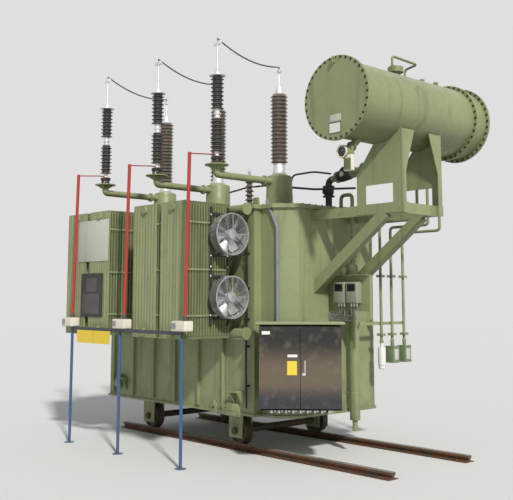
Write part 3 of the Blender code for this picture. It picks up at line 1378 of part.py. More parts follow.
def main():
    """Build every piece under an empty that sets the origin."""
    clear_scene()
    root = bpy.data.objects.new(ROOT_NAME, None)
    bpy.context.collection.objects.link(root)
    root.location = (-CENTRE_X, -CENTRE_Y, 0.0)
    green = paint("green_paint", (0.27, 0.32, 0.17), 0.45)
    steel = paint("dark_steel", (0.10, 0.10, 0.10), 0.5, 0.7)
    stainless = paint("stainless", (0.16, 0.17, 0.18), 0.3, 0.9)
    zinc = paint("zinc", (0.55, 0.58, 0.60), 0.4, 0.9)
    brown = paint("porcelain", (0.10, 0.09, 0.08), 0.2)
    grey = paint("grey_polymer", (0.20, 0.20, 0.21), 0.6)
    white = paint("white_paint", (0.80, 0.80, 0.76), 0.5)
    cream = paint("cream_box", (0.75, 0.72, 0.62), 0.5)
    blue = paint("blue_post", (0.04, 0.10, 0.25), 0.5)
    aluminium = paint("aluminium", (0.60, 0.62, 0.63), 0.45, 1.0)
    build_rails(steel)
    build_wheelsets(steel)
    build_tank_floor(green)
    build_tank(green)
    build_radiators(green)
    build_collectors(green)
    build_fan_frame(steel)
    for label, z in zip(("upper", "lower"), FAN_Z):
        build_fan(label, z, zinc)
    build_cabinet(stainless, green)
    for index, x in enumerate(PHASE_X, start=1):
        build_turret(index, x, green)
        build_bushing(index, x, brown)
        build_arrester(index, x, grey)
        build_jumper(index, x, aluminium)
    build_neutral(brown, grey)
    build_conservator(green)
    for label, y in zip(("near", "far"), SUPPORT_Y):
        build_support(label, y, green)
    build_cross_ties(green)
    build_oil_pipe(green)
    build_gauge(white)
    build_relief_pipe(green)
    build_breathers(green, white)
    build_breather_holder(green)
    build_instruments(green, grey)
    build_conduit(grey)
    build_rack(blue, cream)
    build_plate_board(steel)


main()
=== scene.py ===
"""Looks of an oil-filled power transformer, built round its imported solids.

Lengths are in metres in the frame of the solids: X runs along the rails towards the
conservator, -Y is the side with the radiators, +Z is up and the ground is Z = 0.
"""
import logging
import math
from dataclasses import dataclass, field
from enum import Enum

import bmesh
import bpy
from mathutils import Matrix, Vector


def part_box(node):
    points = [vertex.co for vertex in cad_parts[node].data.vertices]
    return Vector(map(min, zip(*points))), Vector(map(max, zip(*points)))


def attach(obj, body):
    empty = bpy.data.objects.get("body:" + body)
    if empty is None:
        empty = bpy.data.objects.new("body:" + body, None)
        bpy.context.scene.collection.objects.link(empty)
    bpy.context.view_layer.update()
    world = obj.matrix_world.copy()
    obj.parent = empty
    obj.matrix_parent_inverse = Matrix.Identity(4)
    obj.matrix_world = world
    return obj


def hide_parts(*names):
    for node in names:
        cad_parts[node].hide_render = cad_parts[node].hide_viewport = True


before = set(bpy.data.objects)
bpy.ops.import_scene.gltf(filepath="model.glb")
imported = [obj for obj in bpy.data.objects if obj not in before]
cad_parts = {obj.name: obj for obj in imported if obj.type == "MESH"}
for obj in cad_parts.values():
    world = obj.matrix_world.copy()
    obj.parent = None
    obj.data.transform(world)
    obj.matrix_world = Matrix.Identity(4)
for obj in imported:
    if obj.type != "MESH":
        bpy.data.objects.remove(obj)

Point = tuple[float, float, float]
Colour = tuple[float, float, float]
Profile = list[tuple[float, float]]

MERGE = 0.000001            # vertices closer than this are one
SHARP_ANGLE = 32            # degrees, above which an edge is shaded sharp
NEAR_WALL = -0.619          # the tank's long walls
FAR_WALL = 1.541
COVER_TOP = 3.2386          # seat of what stands on the cover's rim or top
DISC_LOW = 3.7150           # underside of the discs that carry the arresters

log = logging.getLogger("transformer")


class Body(Enum):
    """The bodies that pieces ride on."""

    BASE = "base"
    DOOR_LEFT = "door_left"
    DOOR_RIGHT = "door_right"
    ROTOR_UPPER = "rotor_upper"
    ROTOR_LOWER = "rotor_lower"


class Way(Enum):
    """Directions that a round shape can stand in."""

    UP = (0.0, 0.0, 1.0)
    DOWN = (0.0, 0.0, -1.0)
    NEAR = (0.0, -1.0, 0.0)
    FAR = (0.0, 1.0, 0.0)
    RIGHT = (1.0, 0.0, 0.0)
    LEFT = (-1.0, 0.0, 0.0)


# Materials


class NodeSheet:
    """One material's node tree, with short ways to add and join its nodes."""

    def __init__(self, name: str) -> None:
        """Start a material with its Principled shader.

        Args:
            name: name of the material.
        """
        self.material = bpy.data.materials.new(name)
        self.material.use_nodes = True
        self.tree = self.material.node_tree
        self.shader = self.tree.nodes["Principled BSDF"]
        self.coordinates = self.tree.nodes.new("ShaderNodeTexCoord").outputs["Object"]

    def set_plain(self, **values: float | Colour) -> None:
        """Set the shader's own sockets.

        Args:
            values: socket names with underscores for spaces, and their values.
        """
        for name, value in values.items():
            socket = self.shader.inputs[name.replace("_", " ")]
            socket.default_value = (*value, 1.0) if isinstance(value, tuple) else value

    def stretched(self, scale: Point) -> bpy.types.NodeSocket:
        """Object coordinates scaled by axis."""
        node = self.tree.nodes.new("ShaderNodeMapping")
        node.inputs["Scale"].default_value = scale
        self.tree.links.new(self.coordinates, node.inputs["Vector"])
        return node.outputs["Vector"]

    def noise(self, scale: float, detail: float = 3.0, stretch: Point = (1.0, 1.0, 1.0),
              roughness: float = 0.55) -> bpy.types.NodeSocket:
        """Add a noise texture.

        Args:
            scale: size of the pattern, in cycles per metre.
            detail: number of finer layers.
            stretch: factors on the coordinates, to draw the pattern out along an axis.
            roughness: weight of the finer layers.

        Returns:
            The noise's value.
        """
        node = self.tree.nodes.new("ShaderNodeTexNoise")
        node.inputs["Scale"].default_value = scale
        node.inputs["Detail"].default_value = detail
        node.inputs["Roughness"].default_value = roughness
        self.tree.links.new(self.stretched(stretch), node.inputs["Vector"])
        return node.outputs["Fac"]

    def cells(self, scale: float) -> bpy.types.NodeSocket:
        """Random value of each cell of a Voronoi pattern."""
        node = self.tree.nodes.new("ShaderNodeTexVoronoi")
        node.inputs["Scale"].default_value = scale
        self.tree.links.new(self.coordinates, node.inputs["Vector"])
        return self.calculate("DOT_PRODUCT", node.outputs["Color"], (0.4, 0.3, 0.3))

    def calculate(self, kind: str, vector: bpy.types.NodeSocket, other: Point) -> bpy.types.NodeSocket:
        """Value of a vector operation with a fixed vector."""
        node = self.tree.nodes.new("ShaderNodeVectorMath")
        node.operation = kind
        self.tree.links.new(vector, node.inputs[0])
        node.inputs[1].default_value = other
        return node.outputs["Value"]

    def span(self, value: bpy.types.NodeSocket, low: float, high: float,
             start: float = 0.0, end: float = 1.0) -> bpy.types.NodeSocket:
        """Map a range of a value smoothly to another range.

        Args:
            value: the value.
            low: where the range starts.
            high: where the range ends.
            start: what low becomes.
            end: what high becomes.

        Returns:
            The mapped value.
        """
        node = self.tree.nodes.new("ShaderNodeMapRange")
        node.interpolation_type = "SMOOTHSTEP"
        for name, number in (("From Min", low), ("From Max", high), ("To Min", start), ("To Max", end)):
            node.inputs[name].default_value = number
        self.tree.links.new(value, node.inputs["Value"])
        return node.outputs["Result"]

    def times(self, first: bpy.types.NodeSocket, second: bpy.types.NodeSocket) -> bpy.types.NodeSocket:
        """Product of two values."""
        node = self.tree.nodes.new("ShaderNodeMath")
        node.operation = "MULTIPLY"
        self.tree.links.new(first, node.inputs[0])
        self.tree.links.new(second, node.inputs[1])
        return node.outputs["Value"]

    def facing(self, direction: Point) -> bpy.types.NodeSocket:
        """How far the surface faces a direction of the object, from -1 to 1."""
        normal = self.tree.nodes.new("ShaderNodeNewGeometry").outputs["Normal"]
        return self.calculate("DOT_PRODUCT", normal, direction)

    def height(self) -> bpy.types.NodeSocket:
        """Height above the ground."""
        node = self.tree.nodes.new("ShaderNodeSeparateXYZ")
        self.tree.links.new(self.coordinates, node.inputs["Vector"])
        return node.outputs["Z"]

    def blend(self, share: bpy.types.NodeSocket, base: bpy.types.NodeSocket | Colour,
              other: Colour) -> bpy.types.NodeSocket:
        """Mix another colour over a base.

        Args:
            share: how much of the other colour shows.
            base: a colour, or the output of an earlier mix.
            other: the colour that goes over it.

        Returns:
            The mixed colour.
        """
        node = self.tree.nodes.new("ShaderNodeMix")
        node.data_type = "RGBA"
        self.tree.links.new(share, node.inputs["Factor"])
        if isinstance(base, tuple):
            node.inputs[6].default_value = (*base, 1.0)
        else:
            self.tree.links.new(base, node.inputs[6])
        node.inputs[7].default_value = (*other, 1.0)
        return node.outputs[2]

    def colour(self, value: bpy.types.NodeSocket) -> None:
        """Lead a colour to the shader."""
        self.tree.links.new(value, self.shader.inputs["Base Color"])

    def sheen(self, value: bpy.types.NodeSocket) -> None:
        """Lead a roughness to the shader."""
        self.tree.links.new(value, self.shader.inputs["Roughness"])

    def bump(self, *layers: tuple[bpy.types.NodeSocket, float, float]) -> None:
        """Lead a stack of bumps to the shader.

        Args:
            layers: a height, its strength and its depth in metres, from coarse to fine.
        """
        normal = None
        for height, strength, distance in layers:
            node = self.tree.nodes.new("ShaderNodeBump")
            node.inputs["Strength"].default_value = strength
            node.inputs["Distance"].default_value = distance
            self.tree.links.new(height, node.inputs["Height"])
            if normal is not None:
                self.tree.links.new(normal, node.inputs["Normal"])
            normal = node.outputs["Normal"]
        self.tree.links.new(normal, self.shader.inputs["Normal"])


@dataclass(frozen=True)
class Finish:
    """What every finish has: a name, a slot and a colour."""

    name: str
    slot: str
    colour: Colour

    def material(self) -> bpy.types.Material:
        """The finish's material, made when it is first asked for."""
        known = bpy.data.materials.get(self.name)
        if known:
            return known
        sheet = NodeSheet(self.name)
        self.mix(sheet)
        return sheet.material

    def mix(self, sheet: NodeSheet) -> None:
        """Draw the material on its sheet."""
        raise NotImplementedError

    def shade(self, factor: float) -> Colour:
        """The colour made lighter or darker."""
        return tuple(min(channel * factor, 1.0) for channel in self.colour)


@dataclass(frozen=True)
class OutdoorPaint(Finish):
    """Satin paint with chalking, rain streaks, dust on top faces, dirt near the ground and painted shade on
    faces that look down.
    """

    roughness: float = 0.42
    dust: Colour = (0.42, 0.40, 0.30)
    dirt: Colour = (0.10, 0.085, 0.055)
    wear: float = 1.0
    upper: Colour | None = None
    split: float = 0.0

    def mix(self, sheet: NodeSheet) -> None:
        """Draw the material on its sheet."""
        sheet.set_plain(Metallic=0.0, Specular_IOR_Level=0.45)
        clouds = sheet.span(sheet.noise(1.6, 4.0), 0.35, 0.70, 0.0, 0.75 * self.wear)
        base = sheet.blend(clouds, self.colour, self.shade(1.13))
        patches = sheet.span(sheet.noise(7.0, 5.0), 0.48, 0.74, 0.0, 0.45 * self.wear)
        base = sheet.blend(patches, base, self.shade(0.82))
        streaks = sheet.span(sheet.noise(9.0, 4.0, (1.0, 1.0, 0.06)), 0.50, 0.80, 0.0, 0.5 * self.wear)
        base = sheet.blend(streaks, base, self.dirt)
        low = sheet.times(sheet.span(sheet.height(), 1.1, 0.30, 0.0, 0.6 * self.wear),
                          sheet.span(sheet.noise(5.0, 5.0), 0.35, 0.70))
        base = sheet.blend(low, base, self.dirt)
        top = sheet.times(sheet.span(sheet.facing((0.0, 0.0, 1.0)), 0.45, 0.95, 0.0, 0.75 * self.wear),
                          sheet.span(sheet.noise(14.0, 4.0), 0.25, 0.70, 0.35, 1.0))
        base = sheet.blend(top, base, self.dust)
        # Painted shade: faces that look down are darkened towards 30 % of the colour, as if in shade.
        under = sheet.span(sheet.facing((0.0, 0.0, -1.0)), 0.05, 0.85, 0.0, 0.60)
        base = sheet.blend(under, base, self.shade(0.30))
        if self.upper:
            base = sheet.blend(sheet.span(sheet.height(), self.split, self.split + 0.002), base, self.upper)
        specks = sheet.span(sheet.noise(55.0, 4.0), 0.70, 0.78, 0.0, 0.65 * self.wear)
        sheet.colour(sheet.blend(specks, base, (0.17, 0.075, 0.03)))
        sheet.sheen(sheet.span(sheet.noise(11.0, 4.0), 0.3, 0.7, self.roughness - 0.08,
                               self.roughness + 0.20))
        sheet.bump((sheet.noise(2.3, 2.0), 0.25, 0.004), (sheet.noise(260.0, 2.0), 0.12, 0.0006))


@dataclass(frozen=True)
class Rolled(Finish):
    """Hot-rolled or cast iron with rust, scale and a rubbed top."""

    rust: Colour = (0.19, 0.085, 0.04)
    rubbed: float = 0.0
    metallic: float = 0.35

    def mix(self, sheet: NodeSheet) -> None:
        """Draw the material on its sheet."""
        sheet.set_plain(Metallic=self.metallic, Specular_IOR_Level=0.4)
        patches = sheet.span(sheet.noise(9.0, 6.0, (0.5, 1.0, 1.0)), 0.38, 0.66)
        base = sheet.blend(patches, self.colour, self.rust)
        crumbs = sheet.span(sheet.noise(85.0, 4.0), 0.52, 0.72, 0.0, 0.7)
        base = sheet.blend(crumbs, base, self.shade(0.45))
        if self.rubbed:
            top = sheet.times(sheet.span(sheet.height(), self.rubbed - 0.004, self.rubbed - 0.001),
                              sheet.span(sheet.noise(18.0, 3.0, (0.3, 1.0, 1.0)), 0.25, 0.55, 0.3, 1.0))
            base = sheet.blend(top, base, (0.34, 0.32, 0.29))
        sheet.colour(base)
        sheet.sheen(sheet.span(sheet.noise(20.0, 4.0), 0.3, 0.7, 0.55, 0.88))
        sheet.bump((sheet.noise(30.0, 5.0), 0.35, 0.002), (sheet.noise(180.0, 3.0), 0.4, 0.0008))


@dataclass(frozen=True)
class Glaze(Finish):
    """Glazed porcelain with a thin film of dust on its upper sides."""

    roughness: float = 0.12

    def mix(self, sheet: NodeSheet) -> None:
        """Draw the material on its sheet."""
        sheet.set_plain(Metallic=0.0, IOR=1.55, Coat_Weight=0.6, Coat_Roughness=0.06)
        depth = sheet.span(sheet.noise(24.0, 4.0), 0.35, 0.7, 0.0, 0.8)
        base = sheet.blend(depth, self.colour, self.shade(1.9))
        film = sheet.times(sheet.span(sheet.facing((0.0, 0.0, 1.0)), 0.05, 0.9, 0.0, 0.55),
                           sheet.span(sheet.noise(40.0, 4.0), 0.3, 0.7, 0.3, 1.0))
        sheet.colour(sheet.blend(film, base, (0.30, 0.28, 0.24)))
        sheet.sheen(sheet.span(sheet.noise(30.0, 3.0), 0.3, 0.7, self.roughness, self.roughness + 0.16))
        sheet.bump((sheet.noise(90.0, 2.0), 0.06, 0.001),)


@dataclass(frozen=True)
class Moulded(Finish):
    """Moulded rubber, plastic or powder coat with fine grain and a film of dust."""

    roughness: float = 0.55
    grain: float = 420.0
    film: float = 0.35

    def mix(self, sheet: NodeSheet) -> None:
        """Draw the material on its sheet."""
        sheet.set_plain(Metallic=0.0, Specular_IOR_Level=0.4)
        tone = sheet.span(sheet.noise(12.0, 4.0), 0.3, 0.7, 0.0, 0.6)
        base = sheet.blend(tone, self.colour, self.shade(0.78))
        film = sheet.times(sheet.span(sheet.facing((0.0, 0.0, 1.0)), 0.1, 0.9, 0.0, self.film),
                           sheet.span(sheet.noise(32.0, 4.0), 0.3, 0.7, 0.4, 1.0))
        sheet.colour(sheet.blend(film, base, (0.40, 0.37, 0.31)))
        sheet.sheen(sheet.span(sheet.noise(26.0, 3.0), 0.3, 0.7, self.roughness - 0.07,
                               self.roughness + 0.12))
        sheet.bump((sheet.noise(self.grain, 2.0), 0.18, 0.0005),)


@dataclass(frozen=True)
class Galvanised(Finish):
    """Zinc-coated or cast light metal, with spangles and dull patches."""

    roughness: float = 0.36
    spangle: float = 75.0

    def mix(self, sheet: NodeSheet) -> None:
        """Draw the material on its sheet."""
        sheet.set_plain(Metallic=0.85, Specular_IOR_Level=0.5)
        flakes = sheet.span(sheet.cells(self.spangle), 0.25, 0.75)
        base = sheet.blend(flakes, self.shade(0.80), self.shade(1.10))
        dull = sheet.span(sheet.noise(8.0, 5.0), 0.46, 0.72, 0.0, 0.6)
        base = sheet.blend(dull, base, self.shade(0.62))
        sheet.colour(base)
        sheet.sheen(sheet.span(sheet.cells(self.spangle), 0.2, 0.8, self.roughness - 0.08,
                               self.roughness + 0.16))
        sheet.bump((sheet.noise(140.0, 3.0), 0.12, 0.0006),)


@dataclass(frozen=True)
class BrushedSheet(Finish):
    """Brushed stainless sheet with its grain along one direction and hand marks."""

    roughness: float = 0.30
    grain: Point = (3.0, 3.0, 240.0)

    def mix(self, sheet: NodeSheet) -> None:
        """Draw the material on its sheet."""
        sheet.set_plain(Metallic=0.9, Specular_IOR_Level=0.5)
        lines = sheet.noise(3.0, 5.0, self.grain, 0.6)
        base = sheet.blend(sheet.span(lines, 0.3, 0.7), self.shade(0.86), self.shade(1.12))
        smears = sheet.span(sheet.noise(3.5, 4.0), 0.45, 0.75, 0.0, 0.55)
        base = sheet.blend(smears, base, self.shade(0.66))
        runs = sheet.span(sheet.noise(13.0, 4.0, (1.0, 1.0, 0.07)), 0.55, 0.80, 0.0, 0.35)
        sheet.colour(sheet.blend(runs, base, (0.20, 0.18, 0.14)))
        sheet.sheen(sheet.span(lines, 0.3, 0.7, self.roughness, self.roughness + 0.18))
        sheet.bump((lines, 0.10, 0.0004), (sheet.noise(2.0, 2.0), 0.20, 0.003))


@dataclass(frozen=True)
class DarkSheet(Finish):
    """Dark glossy sheet steel with a painted reflection of brown ground across its middle, and hand marks."""

    # painted reflection: the brown of the ground, painted in as if mirrored
    painted_ground_reflection: Colour = (0.150, 0.118, 0.088)
    foot: Colour = (0.045, 0.047, 0.055)
    roughness: float = 0.24

    def mix(self, sheet: NodeSheet) -> None:
        """Draw the material on its sheet."""
        sheet.set_plain(Metallic=0.15, Specular_IOR_Level=0.30)
        # Painted reflection: the colour runs from a dark foot below 0.78 m into brown ground painted in as a
        # reflection from 1.02 m to 1.16 m, then into the sheet's own dark colour above 1.50 m.
        low = sheet.span(sheet.height(), 0.78, 1.02)
        base = sheet.blend(low, self.foot, self.painted_ground_reflection)
        base = sheet.blend(sheet.span(sheet.height(), 1.16, 1.50), base, self.colour)
        smears = sheet.span(sheet.noise(9.0, 5.0), 0.50, 0.78, 0.0, 0.45)
        base = sheet.blend(smears, base, (0.20, 0.17, 0.13))
        specks = sheet.span(sheet.noise(60.0, 4.0), 0.66, 0.76, 0.0, 0.5)
        sheet.colour(sheet.blend(specks, base, (0.26, 0.24, 0.20)))
        sheet.sheen(sheet.span(sheet.noise(14.0, 3.0), 0.3, 0.7, self.roughness, self.roughness + 0.16))
        sheet.bump((sheet.noise(2.0, 2.0), 0.15, 0.002),)


GREEN = OutdoorPaint("green_paint_weathered", "green_paint", (0.262, 0.302, 0.150))
GREEN_BOX = OutdoorPaint("grey_green_enamel", "grey_polymer", (0.30, 0.32, 0.24), 0.38, wear=0.5)
RAIL_STEEL = Rolled("rail_steel", "dark_steel", (0.12, 0.085, 0.06), rubbed=0.085)
WHEEL_IRON = Rolled("wheel_iron", "dark_steel", (0.075, 0.07, 0.055), rust=(0.11, 0.07, 0.04))
BLACK_STEEL = OutdoorPaint("black_steel_paint", "dark_steel", (0.030, 0.031, 0.030), 0.45,
                           dust=(0.20, 0.19, 0.15), dirt=(0.05, 0.04, 0.03), wear=0.7)
PORCELAIN = Glaze("brown_glaze", "porcelain", (0.072, 0.053, 0.042))
SILICONE = Moulded("shed_silicone", "grey_polymer", (0.085, 0.078, 0.074), 0.48)
GREY_PVC = Moulded("grey_conduit", "grey_polymer", (0.23, 0.26, 0.28), 0.42)
BLACK_RUBBER = Moulded("black_rubber", "dark_steel", (0.018, 0.018, 0.019), 0.5, film=0.25)
ZINC = Galvanised("zinc_coat", "zinc", (0.60, 0.62, 0.63))
ALUMINIUM = Galvanised("cast_aluminium", "aluminium", (0.68, 0.69, 0.69), 0.42, 160.0)
CAST_WHITE = Galvanised("pale_casting", "aluminium", (0.84, 0.84, 0.82), 0.52, 160.0)
DULL_WIRE = Galvanised("dull_wire", "aluminium", (0.17, 0.17, 0.16), 0.55, 160.0)
DOOR_STEEL = DarkSheet("dark_door_steel", "stainless", (0.034, 0.032, 0.030))
JAR_GREEN = OutdoorPaint("jar_green_enamel", "grey_polymer", (0.19, 0.245, 0.145), 0.36, wear=0.4)
WINDOW_GREY = Moulded("window_grey", "dark_steel", (0.30, 0.31, 0.31), 0.30, film=0.2)
BRIGHT_NUTS = Galvanised("bright_fittings", "zinc", (0.78, 0.78, 0.75), 0.28, 220.0)
STAINLESS = BrushedSheet("cabinet_sheet", "stainless", (0.150, 0.148, 0.145), 0.34)
CREAM = OutdoorPaint("cream_enamel", "cream_box", (0.76, 0.72, 0.60), 0.38, wear=0.45)
BLUE = OutdoorPaint("blue_enamel", "blue_post", (0.045, 0.105, 0.235), 0.42, wear=0.6,
                    upper=(0.050, 0.062, 0.075), split=1.53)
RED = OutdoorPaint("red_enamel", "cream_box", (0.42, 0.040, 0.030), 0.40, wear=0.4)
YELLOW = OutdoorPaint("yellow_plate", "cream_box", (0.86, 0.62, 0.05), 0.40, wear=0.4)
WHITE = OutdoorPaint("white_enamel", "white_paint", (0.80, 0.80, 0.74), 0.36, wear=0.35)
PALE_PLATE = OutdoorPaint("pale_plate", "white_paint", (0.55, 0.56, 0.47), 0.40, wear=0.5)
DARK_PLATE = Moulded("dark_plate", "dark_steel", (0.035, 0.037, 0.038), 0.32, film=0.2)
DIAL = Moulded("dial_face", "dark_steel", (0.045, 0.032, 0.024), 0.30, film=0.1)
OLIVE = OutdoorPaint("olive_enamel", "white_paint", (0.15, 0.16, 0.07), 0.38, wear=0.4)
GLASS = Moulded("dark_window", "dark_steel", (0.012, 0.012, 0.014), 0.10, film=0.05)


# Meshes


def heading(way: Way | Vector) -> Vector:
    """Direction of a way, or a vector's direction."""
    return Vector(way.value) if isinstance(way, Way) else way.normalized()


def towards(direction: Vector) -> Matrix:
    """Turn that takes +Z to a direction."""
    return Vector((0.0, 0.0, 1.0)).rotation_difference(direction).to_matrix().to_4x4()


def around(angle: float, radius: float = 1.0) -> Vector:
    """Level offset at an angle in radians from +X."""
    return Vector((math.cos(angle) * radius, math.sin(angle) * radius, 0.0))


def add_object(name: str, data: bpy.types.ID) -> bpy.types.Object:
    """Object in the scene that shows a mesh, curve, lamp or camera."""
    made = bpy.data.objects.new(name, data)
    bpy.context.collection.objects.link(made)
    return made


def soften(shape: bmesh.types.BMesh, radius: float, steps: int = 2) -> None:
    """Round all edges of a shape, unless the radius is 0."""
    if radius:
        bmesh.ops.bevel(shape, geom=shape.edges[:], offset=radius, segments=steps, profile=0.5,
                        affect="EDGES", material=-1, clamp_overlap=True)


class Bench:
    """A mesh that one piece is put together in, from shapes that operators make."""

    def __init__(self, place: Matrix | None = None) -> None:
        """Start an empty mesh.

        Args:
            place: frame that the shapes are given in, if not the object's own.
        """
        self.mesh = bmesh.new()
        self.place = place or Matrix.Identity(4)
        self.paint = 0

    def take(self, shape: bmesh.types.BMesh) -> "Bench":
        """Add a shape, merged and turned out, in the paint that is set."""
        bmesh.ops.remove_doubles(shape, verts=shape.verts, dist=MERGE)
        bmesh.ops.recalc_face_normals(shape, faces=shape.faces)
        bmesh.ops.transform(shape, matrix=self.place, verts=shape.verts)
        for face in shape.faces:
            face.material_index = self.paint
            face.smooth = True
        holder = bpy.data.meshes.new("shape")
        shape.to_mesh(holder)
        shape.free()
        self.mesh.from_mesh(holder)
        bpy.data.meshes.remove(holder)
        return self

    def block(self, low: Point, high: Point, round_off: float = 0.0, steps: int = 2) -> "Bench":
        """Add a box with rounded edges.

        Args:
            low: lowest corner.
            high: highest corner.
            round_off: radius of the edges.
            steps: segments of each rounded edge.

        Returns:
            The bench.
        """
        shape = bmesh.new()
        bmesh.ops.create_cube(shape, size=1.0)
        size = Vector(high) - Vector(low)
        middle = (Vector(high) + Vector(low)) / 2
        bmesh.ops.transform(shape, matrix=Matrix.Translation(middle) @ Matrix.Diagonal((*size, 1.0)),
                            verts=shape.verts)
        soften(shape, round_off, steps)
        return self.take(shape)

    def bar(self, start: Point, end: Point, radius: float, end_radius: float | None = None,
            sides: int = 20) -> "Bench":
        """Add a round bar or cone between two points.

        Args:
            start: centre of one end.
            end: centre of the other end.
            radius: radius at the start.
            end_radius: radius at the end, if it differs.
            sides: number of sides.

        Returns:
            The bench.
        """
        along = Vector(end) - Vector(start)
        shape = bmesh.new()
        place = Matrix.Translation((Vector(start) + Vector(end)) / 2) @ towards(along)
        last = radius if end_radius is None else end_radius
        bmesh.ops.create_cone(shape, cap_ends=True, segments=sides, radius1=radius, radius2=last,
                              depth=along.length, matrix=place)
        return self.take(shape)

    def lathe(self, profile: Profile, place: Point, way: Way | Vector = Way.UP, sides: int = 48,
              hoop: bool = False) -> "Bench":
        """Add a turned shape.

        Args:
            profile: (radius, height) pairs along its outline.
            place: where height 0 of the axis lies.
            way: direction of the axis.
            sides: number of sides.
            hoop: True where the outline closes on itself clear of the axis.

        Returns:
            The bench.
        """
        shape = bmesh.new()
        dots = [shape.verts.new((radius, 0.0, height)) for radius, height in profile]
        pairs = list(zip(dots, dots[1:])) + ([(dots[-1], dots[0])] if hoop else [])
        lines = [shape.edges.new(pair) for pair in pairs]
        bmesh.ops.spin(shape, geom=dots + lines, axis=(0.0, 0.0, 1.0), cent=(0.0, 0.0, 0.0),
                       angle=math.tau, steps=sides, use_merge=True)
        bmesh.ops.transform(shape, matrix=Matrix.Translation(place) @ towards(heading(way)),
                            verts=shape.verts)
        return self.take(shape)

    def post(self, x: float, y: float, start: float, end: float, radius: float, sides: int = 20) -> "Bench":
        """Add an upright round bar between two heights."""
        return self.bar((x, y, start), (x, y, end), radius, sides=sides)

    def prism(self, outline: list[Point], depth: Point, round_off: float = 0.0) -> "Bench":
        """Add a flat outline that is drawn out.

        Args:
            outline: corners of the flat face.
            depth: how far and which way it is drawn out.
            round_off: radius of the edges.

        Returns:
            The bench.
        """
        shape = bmesh.new()
        face = shape.faces.new([shape.verts.new(corner) for corner in outline])
        grown = bmesh.ops.extrude_face_region(shape, geom=[face])
        moved = [item for item in grown["geom"] if isinstance(item, bmesh.types.BMVert)]
        bmesh.ops.translate(shape, verts=moved, vec=depth)
        soften(shape, round_off)
        return self.take(shape)

    def tube(self, route: list[Vector], radius: float, roundness: int = 4) -> "Bench":
        """Add a round tube along a route, with closed ends."""
        curve = bpy.data.curves.new("route", "CURVE")
        curve.dimensions = "3D"
        curve.bevel_depth = radius
        curve.bevel_resolution = roundness
        curve.use_fill_caps = True
        line = curve.splines.new("POLY")
        line.points.add(len(route) - 1)
        for point, place in zip(line.points, route):
            point.co = (*place, 1.0)
        guide = add_object("route", curve)
        bpy.context.view_layer.update()
        swept = bpy.data.meshes.new_from_object(guide.evaluated_get(bpy.context.evaluated_depsgraph_get()))
        bpy.data.objects.remove(guide, do_unlink=True)
        shape = bmesh.new()
        shape.from_mesh(swept)
        bpy.data.meshes.remove(swept)
        return self.take(shape)

    def bolts(self, places: list[Vector | Point], way: Way | Vector, size: float = 0.011,
              washer: bool = True) -> "Bench":
        """Add hexagon heads with washers.

        Args:
            places: centres of their seats.
            way: direction that they stand in.
            size: radius of a head.
            washer: True for a washer under each.

        Returns:
            The bench.
        """
        direction = heading(way)
        turn = towards(direction)
        shape = bmesh.new()
        for place in places:
            seat = Matrix.Translation(Vector(place) + direction * size * 0.45) @ turn
            bmesh.ops.create_cone(shape, cap_ends=True, segments=6, radius1=size, radius2=size * 0.94,
                                  depth=size * 0.9, matrix=seat)
            if washer:
                disc = Matrix.Translation(Vector(place) + direction * size * 0.09) @ turn
                bmesh.ops.create_cone(shape, cap_ends=True, segments=10, radius1=size * 1.35,
                                      radius2=size * 1.35, depth=size * 0.18, matrix=disc)
        return self.take(shape)

    def bolt_circle(self, centre: Point, way: Way, radius: float, count: int, size: float = 0.011,
                    start: float = 0.0) -> "Bench":
        """Add bolts round a circle.

        Args:
            centre: middle of the circle, on the seat.
            way: direction that the bolts stand in.
            radius: radius of the circle.
            count: number of bolts.
            size: radius of a head.
            start: angle of the first, in radians.

        Returns:
            The bench.
        """
        turn = towards(heading(way))
        return self.bolts([Vector(centre) + turn @ around(start + math.tau * index / count, radius)
                           for index in range(count)], way, size)

    def finish(self, name: str, *finishes: Finish, body: Body = Body.BASE,
               stands_for: tuple[str, ...] = ()) -> bpy.types.Object:
        """Turn the mesh into a piece that rides on a body.

        Args:
            name: name of the piece.
            finishes: its finishes, one for each paint index of the mesh, in order.
            body: the body that it rides on.
            stands_for: CAD nodes that it takes the place of.

        Returns:
            The piece.
        """
        mesh = bpy.data.meshes.new(name)
        self.mesh.to_mesh(mesh)
        self.mesh.free()
        mesh.set_sharp_from_angle(angle=math.radians(SHARP_ANGLE))
        for finish in finishes:
            mesh.materials.append(finish.material())
        made = add_object(name, mesh)
        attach(made, body.value)
        if stands_for:
            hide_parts(*stands_for)
        log.info("%s: %d faces on %s", name, len(mesh.polygons), body.value)
        return made


def dress(node: str, *finishes: Finish) -> None:
    """Give a kept CAD node its finishes.

    Args:
        node: name of the node.
        finishes: one for each material slot; the last serves the rest.
    """
    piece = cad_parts[node]
    for index, holder in enumerate(piece.material_slots):
        holder.link = "OBJECT"
        holder.material = finishes[min(index, len(finishes) - 1)].material()
    log.info("%s: kept with %s", node, finishes[0].name)


def bend_route(points: list[Point], reach: float, steps: int = 8) -> list[Vector]:
    """Round the inner corners of a route.

    Args:
        points: ends and corners of the route.
        reach: length of straight that each corner gives up on each side.
        steps: points on each rounded corner.

    Returns:
        The points of the rounded route.
    """
    route = [Vector(points[0])]
    for before, corner, after in zip(points, points[1:], points[2:]):
        middle = Vector(corner)
        first = middle + (Vector(before) - middle).normalized() * reach
        last = middle + (Vector(after) - middle).normalized() * reach
        for step in range(steps + 1):
            share = step / steps
            route.append(first.lerp(middle, share).lerp(middle.lerp(last, share), share))
    route.append(Vector(points[-1]))
    return route


